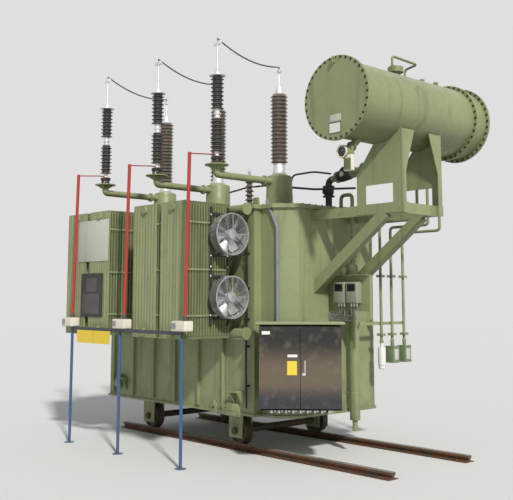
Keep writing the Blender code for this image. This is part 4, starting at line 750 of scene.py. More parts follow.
def soft_route(points: list[Point], steps: int = 8) -> list[Vector]:
    """Draw a smooth curve through points.

    Args:
        points: places that the curve passes.
        steps: points on each stretch.

    Returns:
        The points of the curve.
    """
    dots = [Vector(point) for point in points]
    route = []
    for index in range(len(dots) - 1):
        before = dots[max(index - 1, 0)]
        first, last = dots[index], dots[index + 1]
        after = dots[min(index + 2, len(dots) - 1)]
        for step in range(steps):
            t = step / steps
            route.append(0.5 * (2 * first + (last - before) * t
                                + (2 * before - 5 * first + 4 * last - after) * t ** 2
                                + (3 * first - before - 3 * last + after) * t ** 3))
    route.append(dots[-1])
    return route


@dataclass
class Span:
    """Where a CAD node lies at rest."""

    node: str
    low: Vector = field(init=False)
    high: Vector = field(init=False)

    def __post_init__(self) -> None:
        """Read the node's box."""
        low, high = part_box(self.node)
        self.low = Vector(low)
        self.high = Vector(high)

    def middle(self) -> Vector:
        """Centre of the box."""
        return (self.low + self.high) / 2


# Sub-assemblies


@dataclass
class Track:
    """Rails, wheels and the floor that rides on them."""

    rails: tuple[str, ...] = ("rail_near", "rail_far")
    clip_pitch: float = 0.55
    wheel_radius: float = 0.17
    flange_radius: float = 0.195
    wheel_width: float = 0.10
    axle_radius: float = 0.045
    gauge: float = 1.505            # between the rails' centres

    def build(self) -> None:
        """Dress the rails and floor, and make the clips and wheelsets."""
        for rail in self.rails:
            dress(rail, RAIL_STEEL)
        dress("tank_floor", GREEN)
        self.clips()
        for node in ("wheelset_1", "wheelset_2"):
            self.wheelset(node)

    def clips(self) -> None:
        """Bolted clips along both sides of each rail's foot."""
        bench = Bench()
        for rail in self.rails:
            span = Span(rail)
            centre = span.middle()
            count = int((span.high.x - span.low.x) / self.clip_pitch)
            for index in range(count + 1):
                x = span.low.x + 0.15 + index * (span.high.x - span.low.x - 0.30) / count
                for side in (-1, 1):
                    y = centre.y + side * 0.066
                    bench.block((x - 0.032, y - 0.022, 0.010), (x + 0.032, y + 0.022, 0.022), 0.003)
                    bench.bolts([(x, y + side * 0.006, 0.022)], Way.UP, 0.011)
        bench.finish("rail_clips", RAIL_STEEL)

    def wheelset(self, node: str) -> None:
        """Smooth flanged wheels with a sunk web, and their axle, in a node's place."""
        span = Span(node)
        centre = span.middle()
        half = (span.high.y - span.low.y) / 2
        inner = (self.gauge - self.wheel_width) / 2
        outer = (self.gauge + self.wheel_width) / 2
        bench = Bench()
        bench.bar((centre.x, centre.y - half, centre.z), (centre.x, centre.y + half, centre.z),
                  self.axle_radius, sides=32)
        for side, way in ((-1, Way.NEAR), (1, Way.FAR)):
            profile = [(self.axle_radius, inner - 0.022), (self.flange_radius - 0.006, inner - 0.022),
                       (self.flange_radius, inner - 0.014), (self.flange_radius - 0.004, inner - 0.002),
                       (self.wheel_radius, inner + 0.004), (self.wheel_radius - 0.001, outer - 0.006),
                       (self.wheel_radius - 0.008, outer), (self.wheel_radius - 0.030, outer),
                       (self.wheel_radius - 0.036, outer - 0.018), (self.axle_radius + 0.040, outer - 0.022),
                       (self.axle_radius + 0.034, outer), (self.axle_radius, outer)]
            bench.lathe(profile, (centre.x, centre.y, centre.z), way, 64, hoop=True)
            end = centre.y + side * half
            bench.bolt_circle((centre.x, end - side * 0.004, centre.z), way, 0.026, 3, 0.006)
        bench.finish(node + "_smooth", WHEEL_IRON, stands_for=(node,))


@dataclass
class Tank:
    """Tank walls and cover with their bolts, lugs, valves and plates."""

    bolt_pitch: float = 0.115
    bolt_line: float = 0.020        # from a wall out to its bolts
    plan: tuple[tuple[float, float], ...] = (   # the walls' corners, anticlockwise
        (-2.6885, NEAR_WALL), (0.6515, NEAR_WALL), (0.6515, -0.496), (0.8965, -0.496), (1.1215, -0.271),
        (1.1215, 1.193), (0.8965, 1.418), (0.6515, 1.418), (0.6515, FAR_WALL), (-2.6885, FAR_WALL))

    def build(self) -> None:
        """Dress the walls and cover and add what is bolted and welded to them."""
        dress("tank_walls", GREEN)
        dress("tank_cover", GREEN)
        self.rim_bolts()
        self.cover_fittings()
        self.wall_fittings()
        self.bottom_fittings()

    def rim_bolts(self) -> None:
        """Bolts through the flange, with heads above and nuts below."""
        cover = Span("tank_cover")
        tops = []
        for start, end in zip(self.plan, self.plan[1:] + self.plan[:1]):
            here, after = Vector(start), Vector(end)
            along = after - here
            outward = Vector((along.y, -along.x)).normalized() * self.bolt_line
            number = max(int(along.length / self.bolt_pitch), 1)
            for step in range(number):
                spot = here.lerp(after, (step + 0.5) / number) + outward
                tops.append(Vector((spot.x, spot.y, cover.high.z)))
        bench = Bench()
        bench.bolts(tops, Way.UP, 0.013)
        bench.bolts([place - Vector((0.0, 0.0, 0.0535)) for place in tops], Way.DOWN, 0.013)
        bench.finish("rim_bolts", GREEN)

    def cover_fittings(self) -> None:
        """Hand holes, lifting eyes and thermometer pockets on the cover."""
        top = Span("tank_cover").high.z
        bench = Bench()
        for x, y, radius in ((-0.15, 0.95, 0.22), (-1.46, 0.95, 0.22), (-2.25, 1.05, 0.17)):
            bench.lathe([(0.0, 0.0), (radius - 0.02, 0.0), (radius - 0.02, 0.03), (radius, 0.03),
                         (radius, 0.052), (0.0, 0.052)], (x, y, top), Way.UP, 56)
            bench.bolt_circle((x, y, top + 0.052), Way.UP, radius - 0.018, 16, 0.010)
        for x, y in ((-2.45, -0.45), (-2.45, 1.38), (0.50, -0.45), (0.50, 1.30)):
            bench.prism([(x - 0.07, y - 0.012, top), (x + 0.07, y - 0.012, top),
                         (x + 0.05, y - 0.012, top + 0.12), (x - 0.05, y - 0.012, top + 0.12)],
                        (0.0, 0.024, 0.0), 0.006)
            bench.lathe([(0.020, -0.015), (0.034, -0.015), (0.034, 0.015), (0.020, 0.015)],
                        (x, y, top + 0.075), Way.FAR, 28, hoop=True)
        for x, y in ((0.15, 0.30), (0.28, 0.30), (-0.62, 0.45)):
            bench.post(x, y, top, top + 0.09, 0.022)
            bench.bolts([(x, y, top + 0.09)], Way.UP, 0.024, False)
        bench.finish("cover_fittings", GREEN)

    def wall_fittings(self) -> None:
        """Stiffeners, earthing bosses, jacking lugs and lifting trunnions on the walls."""
        bench = Bench()
        for x in (-2.30, 0.36):
            for side, wall in ((-1, NEAR_WALL), (1, FAR_WALL)):
                far = wall + side * 0.10
                bench.block((x - 0.09, min(wall, far), 0.80), (x + 0.09, max(wall, far), 0.825), 0.004)
                for offset in (-0.075, 0.075):
                    bench.prism([(x + offset - 0.008, wall, 0.80), (x + offset - 0.008, far, 0.80),
                                 (x + offset - 0.008, wall, 0.62)], (0.016, 0.0, 0.0), 0.002)
        for x in (-2.12, -0.30):
            for side, wall in ((-1, NEAR_WALL), (1, FAR_WALL)):
                bench.bar((x, wall - side * 0.005, 2.78), (x, wall + side * 0.075, 2.78), 0.045, sides=32)
                bench.bar((x, wall + side * 0.060, 2.78), (x, wall + side * 0.078, 2.78), 0.062, sides=32)
        for z in (1.15, 1.75, 2.45):
            bench.block((1.120, 0.32, z - 0.03), (1.128, 0.42, z + 0.03), 0.002)
        bench.finish("wall_fittings", GREEN)

    def bottom_fittings(self) -> None:
        """Pulling lugs, the trapezoid foot and the drain valve low on the near wall."""
        bench = Bench()
        wall = NEAR_WALL
        for x in (-0.13, 0.03):
            bench.prism([(x - 0.070, wall, 0.50), (x + 0.070, wall, 0.50), (x + 0.070, wall, 0.60),
                         (x, wall, 0.665), (x - 0.070, wall, 0.60)], (0.0, -0.028, 0.0), 0.003)
            bench.lathe([(0.022, 0.0), (0.034, 0.0), (0.034, 0.006), (0.022, 0.006)],
                        (x, wall - 0.028, 0.575), Way.NEAR, 28, hoop=True)
        bench.prism([(0.10, wall, 0.50), (0.42, wall, 0.50), (0.36, wall, 0.66), (0.16, wall, 0.66)],
                    (0.0, -0.05, 0.0), 0.005)
        bench.bolts([(x, wall - 0.05, 0.58) for x in (0.18, 0.26, 0.34)], Way.NEAR, 0.012)
        x, z = -2.36, 0.74
        bench.bar((x, wall + 0.01, z), (x, wall - 0.09, z), 0.032, sides=28)
        for y in (wall - 0.055, wall - 0.09):
            bench.bar((x, y, z), (x, y - 0.014, z), 0.062, sides=36)
        bench.bolt_circle((x, wall - 0.104, z), Way.NEAR, 0.048, 6, 0.007)
        bench.post(x, wall - 0.045, z + 0.03, z + 0.11, 0.014)
        bench.lathe([(0.034, -0.005), (0.046, -0.005), (0.046, 0.005), (0.034, 0.005)],
                    (x, wall - 0.045, z + 0.112), Way.UP, 32, hoop=True)
        bench.bar((x - 0.04, wall - 0.045, z + 0.112), (x + 0.04, wall - 0.045, z + 0.112), 0.004, sides=8)
        bench.finish("bottom_fittings", GREEN)
        # Painted shade: dark discs stand for the shaded holes in the pulling lugs.
        holes = Bench()
        for x in (-0.13, 0.03):
            holes.bar((x, wall - 0.0285, 0.575), (x, wall - 0.0292, 0.575), 0.023, sides=28)
        holes.finish("lug_hole_shade", BLACK_RUBBER)


@dataclass
class Radiator:
    """One radiator: pressed panels on two headers, with spacers and end caps."""

    node: str
    panels: int = 17
    pitch: float = 0.045
    thickness: float = 0.011
    flutes: int = 8
    flute_depth: float = 0.009
    header_radius: float = 0.045
    cap_radius: float = 0.052
    levels: tuple[float, float] = (1.570, 3.175)

    def build(self) -> None:
        """Make the radiator in the node's place."""
        span = Span(self.node)
        bench = Bench()
        self.front(bench, span)
        face = span.low.y + self.flute_depth
        for row in range(1, self.panels):
            y = face + row * self.pitch
            self.panel(bench, span, y)
        middle = span.middle()
        for z in self.levels:
            bench.bar((middle.x, face + 0.004, z), (middle.x, span.high.y, z), self.header_radius, sides=24)
            cap = self.cap_radius
            bench.lathe([(cap + 0.012, 0.0), (cap + 0.010, 0.004), (cap, 0.006), (cap, 0.024),
                         (cap - 0.006, 0.030), (0.0, 0.031)], (middle.x, face + 0.001, z), Way.NEAR, 40)
        self.spacers(bench, span, face)
        bench.finish(self.node + "_panels", GREEN, stands_for=(self.node,))

    def front(self, bench: Bench, span: Span) -> None:
        """Outermost panel: upright flutes that fade at its ends and round the header caps.

        Args:
            bench: where it is added.
            span: the node's place.
        """
        width = span.high.x - span.low.x
        height = span.high.z - span.low.z
        middle = span.middle()
        shape = bmesh.new()
        bmesh.ops.create_grid(shape, x_segments=self.flutes * 8, y_segments=64, size=0.5)
        face = span.low.y + self.flute_depth
        for dot in shape.verts:
            across = dot.co.x + 0.5
            side = 1.0 if dot.co.y >= 0.0 else -1.0
            share = side * (1.0 - (1.0 - abs(dot.co.y) * 2.0) ** 1.7) / 2.0
            x = span.low.x + across * width
            z = middle.z + share * height
            away = min(math.hypot(x - middle.x, z - level) for level in self.levels)
            edge = min(z - span.low.z, span.high.z - z)
            side_edge = min(x - span.low.x, span.high.x - x)
            fade = self.ease((away - 0.085) / 0.075) * self.ease((edge - 0.010) / 0.035)
            fade *= self.ease((side_edge - 0.004) / 0.010)
            wave = (0.5 - 0.5 * math.cos(math.tau * across * self.flutes)) ** 0.65
            dot.co = (x, face - self.flute_depth * wave * fade, z)
        grown = bmesh.ops.extrude_face_region(shape, geom=shape.faces[:])
        for item in grown["geom"]:
            if isinstance(item, bmesh.types.BMVert):
                item.co.y = face + self.thickness
        bench.take(shape)

    @staticmethod
    def ease(share: float) -> float:
        """Smooth step from 0 to 1."""
        held = min(max(share, 0.0), 1.0)
        return held * held * (3.0 - 2.0 * held)

    def panel(self, bench: Bench, span: Span, y: float) -> None:
        """One inner panel: a thin sheet with thicker edges where its flutes are pressed.

        Args:
            bench: where it is added.
            span: the node's place.
            y: its front face.
        """
        middle = y + self.thickness / 2
        bench.block((span.low.x, middle - 0.0016, span.low.z), (span.high.x, middle + 0.0016, span.high.z))
        pitch = (span.high.x - span.low.x) / self.flutes
        for index in range(self.flutes):
            left = span.low.x + index * pitch + pitch * 0.12
            bench.block((left, y, span.low.z + 0.035), (left + pitch * 0.76, y + self.thickness,
                                                       span.high.z - 0.035), 0.0045, steps=1)

    def spacers(self, bench: Bench, span: Span, face: float) -> None:
        """Flat bars that tie the panels' edges together on both sides.

        Args:
            bench: where they are added.
            span: the node's place.
            face: front of the outermost panel.
        """
        last = face + (self.panels - 1) * self.pitch + self.thickness
        for x, out in ((span.low.x, -1), (span.high.x, 1)):
            for z in (1.80, 2.38, 2.98):
                near = x - out * 0.001
                far = x + out * 0.004
                bench.block((min(near, far), face, z - 0.011), (max(near, far), last, z + 0.011), 0.001)


@dataclass
class Collectors:
    """Pipes that gather the headers, with flanges, caps and stubs to the tank."""

    radius: float = 0.062
    flange: float = 0.080
    stub_radius: float = 0.040
    stub_x: tuple[float, float] = (-1.8985, -0.1705)
    drops: tuple[float, float] = (0.0, 0.035)

    def build(self) -> None:
        """Make both collectors."""
        for node, drop in zip(("collector_bottom", "collector_top"), self.drops):
            span = Span(node)
            y = span.low.y + self.flange
            z = span.low.z + self.flange
            bench = Bench()
            bench.bar((span.low.x + 0.01, y, z), (span.high.x - 0.01, y, z), self.radius, sides=48)
            for x, way in ((span.low.x, Way.LEFT), (span.high.x, Way.RIGHT)):
                out = Vector(way.value)
                for inset in (0.0, 0.0115):
                    start = Vector((x, y, z)) - out * inset
                    bench.bar(start, start - out * 0.0095, self.flange, sides=48)
                seat = Vector((x, y, z)) - out * 0.009
                bench.bolt_circle(seat, way, self.flange - 0.012, 8, 0.0075)
            for x in self.stub_x:
                bench.bar((x, y, z - drop), (x, NEAR_WALL - 0.0005, z - drop), self.stub_radius, sides=32)
                bench.lathe([(self.stub_radius, -0.004), (self.stub_radius + 0.016, 0.002),
                             (self.stub_radius, 0.010)], (x, y + 0.058, z - drop),
                            Way.FAR, 32, hoop=True)
            bench.finish(node + "_pipe", GREEN, stands_for=(node,))


@dataclass
class Fan:
    """One fan: zinc duct with a rolled lip, motor on four struts, and a bladed rotor."""

    label: str
    body: Body
    radius: float = 0.252
    lip: float = 0.275
    tip: float = 0.236
    blades: int = 7
    hub: float = 0.060
    depth: float = 0.16             # of the duct
    frame_x: float = 0.4020         # outer face of the bars behind the duct

    def build(self) -> None:
        """Make the duct with its motor and guard, and the rotor."""
        span = Span(f"fan_{self.label}_duct")
        rotor = Span(f"fan_{self.label}_rotor")
        centre = Vector((0.0, span.middle().y, span.middle().z))
        lip_x = span.high.x
        back_x = lip_x - self.depth
        bench = Bench()
        bench.lathe(self.duct_profile(back_x, lip_x), centre, Way.RIGHT, 96, hoop=True)
        for index in range(4):
            turn = Matrix.Rotation(math.tau * index / 4, 4, "X")
            tip = turn @ Vector((0.0, 0.0, self.radius + 0.004))
            root = turn @ Vector((0.0, 0.0, 0.060))
            shift = Vector((lip_x - 0.008, centre.y, centre.z))
            bench.bar(root + shift, tip + shift, 0.0055, sides=12)
            bench.bolts([tip * 0.985 + shift - Vector((0.0015, 0.0, 0.0))], Way.RIGHT, 0.008, False)
        for side in (-1, 1):
            z = centre.z + side * 0.262
            bench.block((self.frame_x, centre.y - 0.04, z - 0.010),
                        (back_x + 0.04, centre.y + 0.04, z + 0.010), 0.003)
        bench.finish(f"fan_{self.label}_ring", ZINC, stands_for=(f"fan_{self.label}_duct",))
        self.motor(centre, lip_x)
        self.guard(centre, lip_x - 0.004)
        self.rotor(rotor)

    def guard(self, centre: Vector, x: float) -> None:
        """Wire guard of rings on eight spokes in the duct's mouth.

        Args:
            centre: middle of the duct.
            x: where the guard lies.
        """
        bench = Bench()
        rings, wire, start, pitch, spokes = 11, 0.0017, 0.078, 0.0165, 8
        section = [(wire * math.cos(math.tau * step / 6), x + wire * math.sin(math.tau * step / 6))
                   for step in range(6)]
        for index in range(rings):
            radius = start + index * pitch
            bench.lathe([(radius + out, along) for out, along in section], centre, Way.RIGHT, 56, hoop=True)
        shift = Vector((x - 0.0035, centre.y, centre.z))
        root, tip = Vector((0.0, 0.0, 0.064)), Vector((0.0, 0.0, self.radius + 0.003))
        for index in range(spokes):
            turn = Matrix.Rotation(math.tau * (index + 0.5) / spokes, 4, "X")
            bench.bar(turn @ root + shift, turn @ tip + shift, 0.0022, sides=8)
        bench.finish(f"fan_{self.label}_guard", ZINC)

    def duct_profile(self, back_x: float, lip_x: float) -> Profile:
        """Outline of the duct's wall with its rolled lip.

        Args:
            back_x: where the duct starts.
            lip_x: where its lip ends.

        Returns:
            (radius, height) pairs.
        """
        inner = self.radius
        return [(inner, back_x), (inner + 0.005, back_x), (inner + 0.005, lip_x - 0.020),
                (inner + 0.009, lip_x - 0.012), (self.lip - 0.004, lip_x - 0.010), (self.lip, lip_x - 0.006),
                (self.lip - 0.003, lip_x - 0.001), (self.lip - 0.010, lip_x), (inner + 0.006, lip_x - 0.002),
                (inner + 0.001, lip_x - 0.010)]

    def motor(self, centre: Vector, lip_x: float) -> None:
        """Finned motor with its cover and cable gland.

        Args:
            centre: middle of the duct.
            lip_x: where the lip ends.
        """
        bench = Bench()
        start = lip_x - 0.075
        profile = [(0.0, start - 0.028), (0.010, start - 0.028), (0.010, start), (0.066, start)]
        for fin in range(5):
            x = start + 0.006 + fin * 0.010
            profile += [(0.066, x), (0.071, x + 0.001), (0.071, x + 0.004), (0.066, x + 0.005)]
        profile += [(0.068, lip_x - 0.014), (0.062, lip_x - 0.004), (0.045, lip_x - 0.001), (0.0, lip_x)]
        bench.lathe(profile, centre, Way.RIGHT, 48)
        bench.bolt_circle((lip_x - 0.004, centre.y, centre.z), Way.RIGHT, 0.048, 4, 0.0045, 0.4)
        bench.finish(f"fan_{self.label}_motor", ALUMINIUM)

    def rotor(self, span: Span) -> None:
        """Hub with curved blades, on the rotor's body.

        Args:
            span: place of the CAD rotor.
        """
        centre = span.middle()
        bench = Bench()
        depth = 0.024
        bench.lathe([(0.014, -depth), (self.hub - 0.006, -depth), (self.hub, -depth + 0.006),
                     (self.hub, depth - 0.006), (self.hub - 0.008, depth), (0.014, depth)],
                    centre, Way.RIGHT, 48, hoop=True)
        for index in range(self.blades):
            bench.take(self.blade(centre, math.tau * index / self.blades))
        bench.finish(f"fan_{self.label}_blades", ALUMINIUM, body=self.body,
                     stands_for=(f"fan_{self.label}_rotor",))

    def blade(self, centre: Vector, angle: float) -> bmesh.types.BMesh:
        """One cambered blade.

        Args:
            centre: middle of the rotor.
            angle: its place round the hub.

        Returns:
            The blade's mesh.
        """
        shape = bmesh.new()
        bmesh.ops.create_grid(shape, x_segments=8, y_segments=8, size=0.5)
        for dot in shape.verts:
            share = dot.co.y + 0.5
            across = dot.co.x
            radius = self.hub - 0.004 + (self.tip - self.hub + 0.002) * share
            chord = 0.060 + 0.072 * share - 0.030 * max(share - 0.75, 0.0)
            twist = math.radians(42.0 - 17.0 * share)
            sweep = 0.10 * share * share
            camber = 0.010 * (0.25 - across * across) * 4.0
            along = across * chord
            x = math.sin(twist) * along + math.cos(twist) * camber
            swing = (math.cos(twist) * along) / radius + sweep
            dot.co = (x - 0.004, -math.sin(swing) * radius, math.cos(swing) * radius)
        bmesh.ops.solidify(shape, geom=shape.faces[:], thickness=0.0025)
        place = Matrix.Translation(centre) @ Matrix.Rotation(angle, 4, "X")
        bmesh.ops.transform(shape, matrix=place, verts=shape.verts)
        return shape


@dataclass
class FanSupport:
    """Dark bars behind the fans, and the cables that feed them."""

    edge_y: tuple[float, float] = (-1.139, -0.859)

    def build(self) -> None:
        """Dress the bars and add bolts, cable loops and the trunk."""
        dress("fan_frame", BLACK_STEEL)
        span = Span("fan_frame")
        bench = Bench()
        bench.bolts([(span.high.x, y, z) for y in self.edge_y for z in (1.80, 2.30, 2.42, 2.56, 3.09)],
                    Way.RIGHT, 0.009)
        bench.finish("fan_frame_bolts", BRIGHT_NUTS)
        self.trunk()

    def trunk(self) -> None:
        """Black conduit down the back of the fans with a loop to each motor."""
        bench = Bench()
        x, y = 0.55, -0.66
        bench.tube(soft_route([(x, y, 0.62), (x, y - 0.01, 1.30), (x + 0.01, y, 1.95), (x, y, 2.75)]), 0.013)
        for z in (2.835, 2.030):
            bench.tube(soft_route([(x, y, z - 0.40), (x + 0.02, y - 0.03, z - 0.31), (0.600, -0.72, z - 0.21),
                                   (0.615, -0.80, z - 0.12), (0.6130, -0.90, z - 0.045),
                                   (0.6080, -0.935, z - 0.020)]), 0.006)
        for z in (0.90, 1.40, 1.75, 2.15, 2.60):
            bench.block((x - 0.020, y - 0.018, z - 0.012), (x + 0.020, -0.618, z + 0.012), 0.003)
        bench.finish("fan_cables", BLACK_RUBBER)


@dataclass
class Conduit:
    """Grey conduit from the cover's edge down to the cabinet's roof."""

    radius: float = 0.0235
    route: tuple[Point, ...] = ((0.976, -0.512, 1.7313), (0.972, -0.512, 2.930), (0.765, -0.500, 3.280),
                                (0.705, -0.425, 3.300), (0.705, -0.425, 3.240))

    def build(self) -> None:
        """Make the tube with its two straps."""
        bench = Bench()
        bench.tube(bend_route(list(self.route), 0.045), self.radius, 8)
        for z in (1.760, 2.480):
            bench.bar((0.9745, -0.512, z), (0.9740, -0.512, z + 0.022), self.radius + 0.004, sides=28)
        bench.finish("conduit_tube", GREY_PVC, stands_for=("conduit",))


@dataclass
class Cabinet:
    """Corner control cabinet: dark sheet body and doors under a painted roof."""

    turn: float = 45.0
    left: float = -0.334
    right: float = 0.666
    front: float = -0.460
    back: float = -0.060
    door_front: float = -0.492
    low: float = 0.675
    roof: tuple[float, float] = (1.6953, 1.7303)
    origin: Point = (1.009, -0.3835, 0.0)

    def place(self) -> Matrix:
        """Frame of the cabinet, whose -Y looks out of its doors."""
        return Matrix.Translation(self.origin) @ Matrix.Rotation(math.radians(self.turn), 4, "Z")

    def build(self) -> None:
        """Dress the body and doors and add the roof, fittings and glands."""
        for node in ("cabinet_body", "cabinet_door_left", "cabinet_door_right"):
            dress(node, DOOR_STEEL)
        self.cap()
        self.glands()
        self.labels()
        self.handle()

    def cap(self) -> None:
        """Painted roof with a rounded front edge."""
        bench = Bench(self.place())
        low, high = self.roof
        bench.block((self.left - 0.050, self.front - 0.050, low), (self.right + 0.050, self.back, high),
                    0.014, steps=5)
        bench.finish("cabinet_roof_sheet", GREEN, stands_for=("cabinet_roof",))

    def glands(self) -> None:
        """Row of cable glands under the floor, with short cut stubs closed by plugs."""
        bench = Bench(self.place())
        for row, y in enumerate((-0.300, -0.200)):
            for index in range(9):
                x = self.left + 0.150 + index * 0.088 + row * 0.03
                for start, end, radius, sides in ((0.0, 0.014, 0.020, 6), (0.014, 0.034, 0.0165, 24),
                                                  (0.034, 0.048, 0.019, 6)):
                    bench.post(x, y, self.low - start, self.low - end, radius, sides)
                bench.lathe([(0.0, -0.048), (0.015, -0.048), (0.011, -0.054), (0.0, -0.055)],
                            (x, y, self.low), Way.UP, 20)
        bench.finish("cabinet_glands", BRIGHT_NUTS)

    def labels(self) -> None:
        """Bare plates on the left door."""
        face = self.door_front
        for name, finish, x, z in (("door_plate_yellow", YELLOW, (0.008, 0.126), (1.096, 1.262)),
                                   ("door_plate_white", WHITE, (0.012, 0.132), (1.308, 1.340)),
                                   ("door_plate_small", WHITE, (-0.300, -0.200), (1.580, 1.620))):
            bench = Bench(self.place())
            bench.block((x[0], face - 0.0012, z[0]), (x[1], face - 0.0001, z[1]), 0.0003, steps=1)
            bench.finish(name, finish, body=Body.DOOR_LEFT)

    def handle(self) -> None:
        """Swing handle in its pale dish on the right door."""
        bench = Bench(self.place())
        face = self.door_front
        bench.block((0.187, face - 0.010, 1.090), (0.229, face - 0.0002, 1.268), 0.008, steps=3)
        bench.block((0.195, face - 0.026, 1.112), (0.221, face - 0.012, 1.232), 0.006, steps=3)
        bench.lathe([(0.0, 0.0), (0.013, 0.0), (0.013, 0.010), (0.010, 0.013), (0.0, 0.013)],
                    (0.208, face - 0.012, 1.250), Vector((0.0, -1.0, 0.0)), 28)
        bench.finish("door_handle", WHITE, body=Body.DOOR_RIGHT)


def shed_profile(low: float, high: float, count: int, core: float, tip: float,
                 between: float | None = None) -> Profile:
    """Outline of a stack of insulator sheds.

    Args:
        low: where the stack starts.
        high: where it ends.
        count: number of sheds.
        core: radius between the sheds.
        tip: radius of the sheds.
        between: radius of the small sheds between them, if there are any.

    Returns:
        (radius, height) pairs.
    """
    rims = (tip,) if between is None else (tip, between)
    total = count * len(rims)
    pitch = (high - low) / total
    outline = []
    for index in range(total):
        base = low + index * pitch
        rim = rims[index % len(rims)]
        outline += [(core, base + pitch * 0.06), (core + 0.004, base + pitch * 0.20),
                    (rim - 0.007, base + pitch * 0.26), (rim - 0.001, base + pitch * 0.31),
                    (rim, base + pitch * 0.38), (rim - 0.006, base + pitch * 0.46),
                    (core + 0.006, base + pitch * 0.74), (core, base + pitch * 0.88)]
    return outline + [(core, high)]


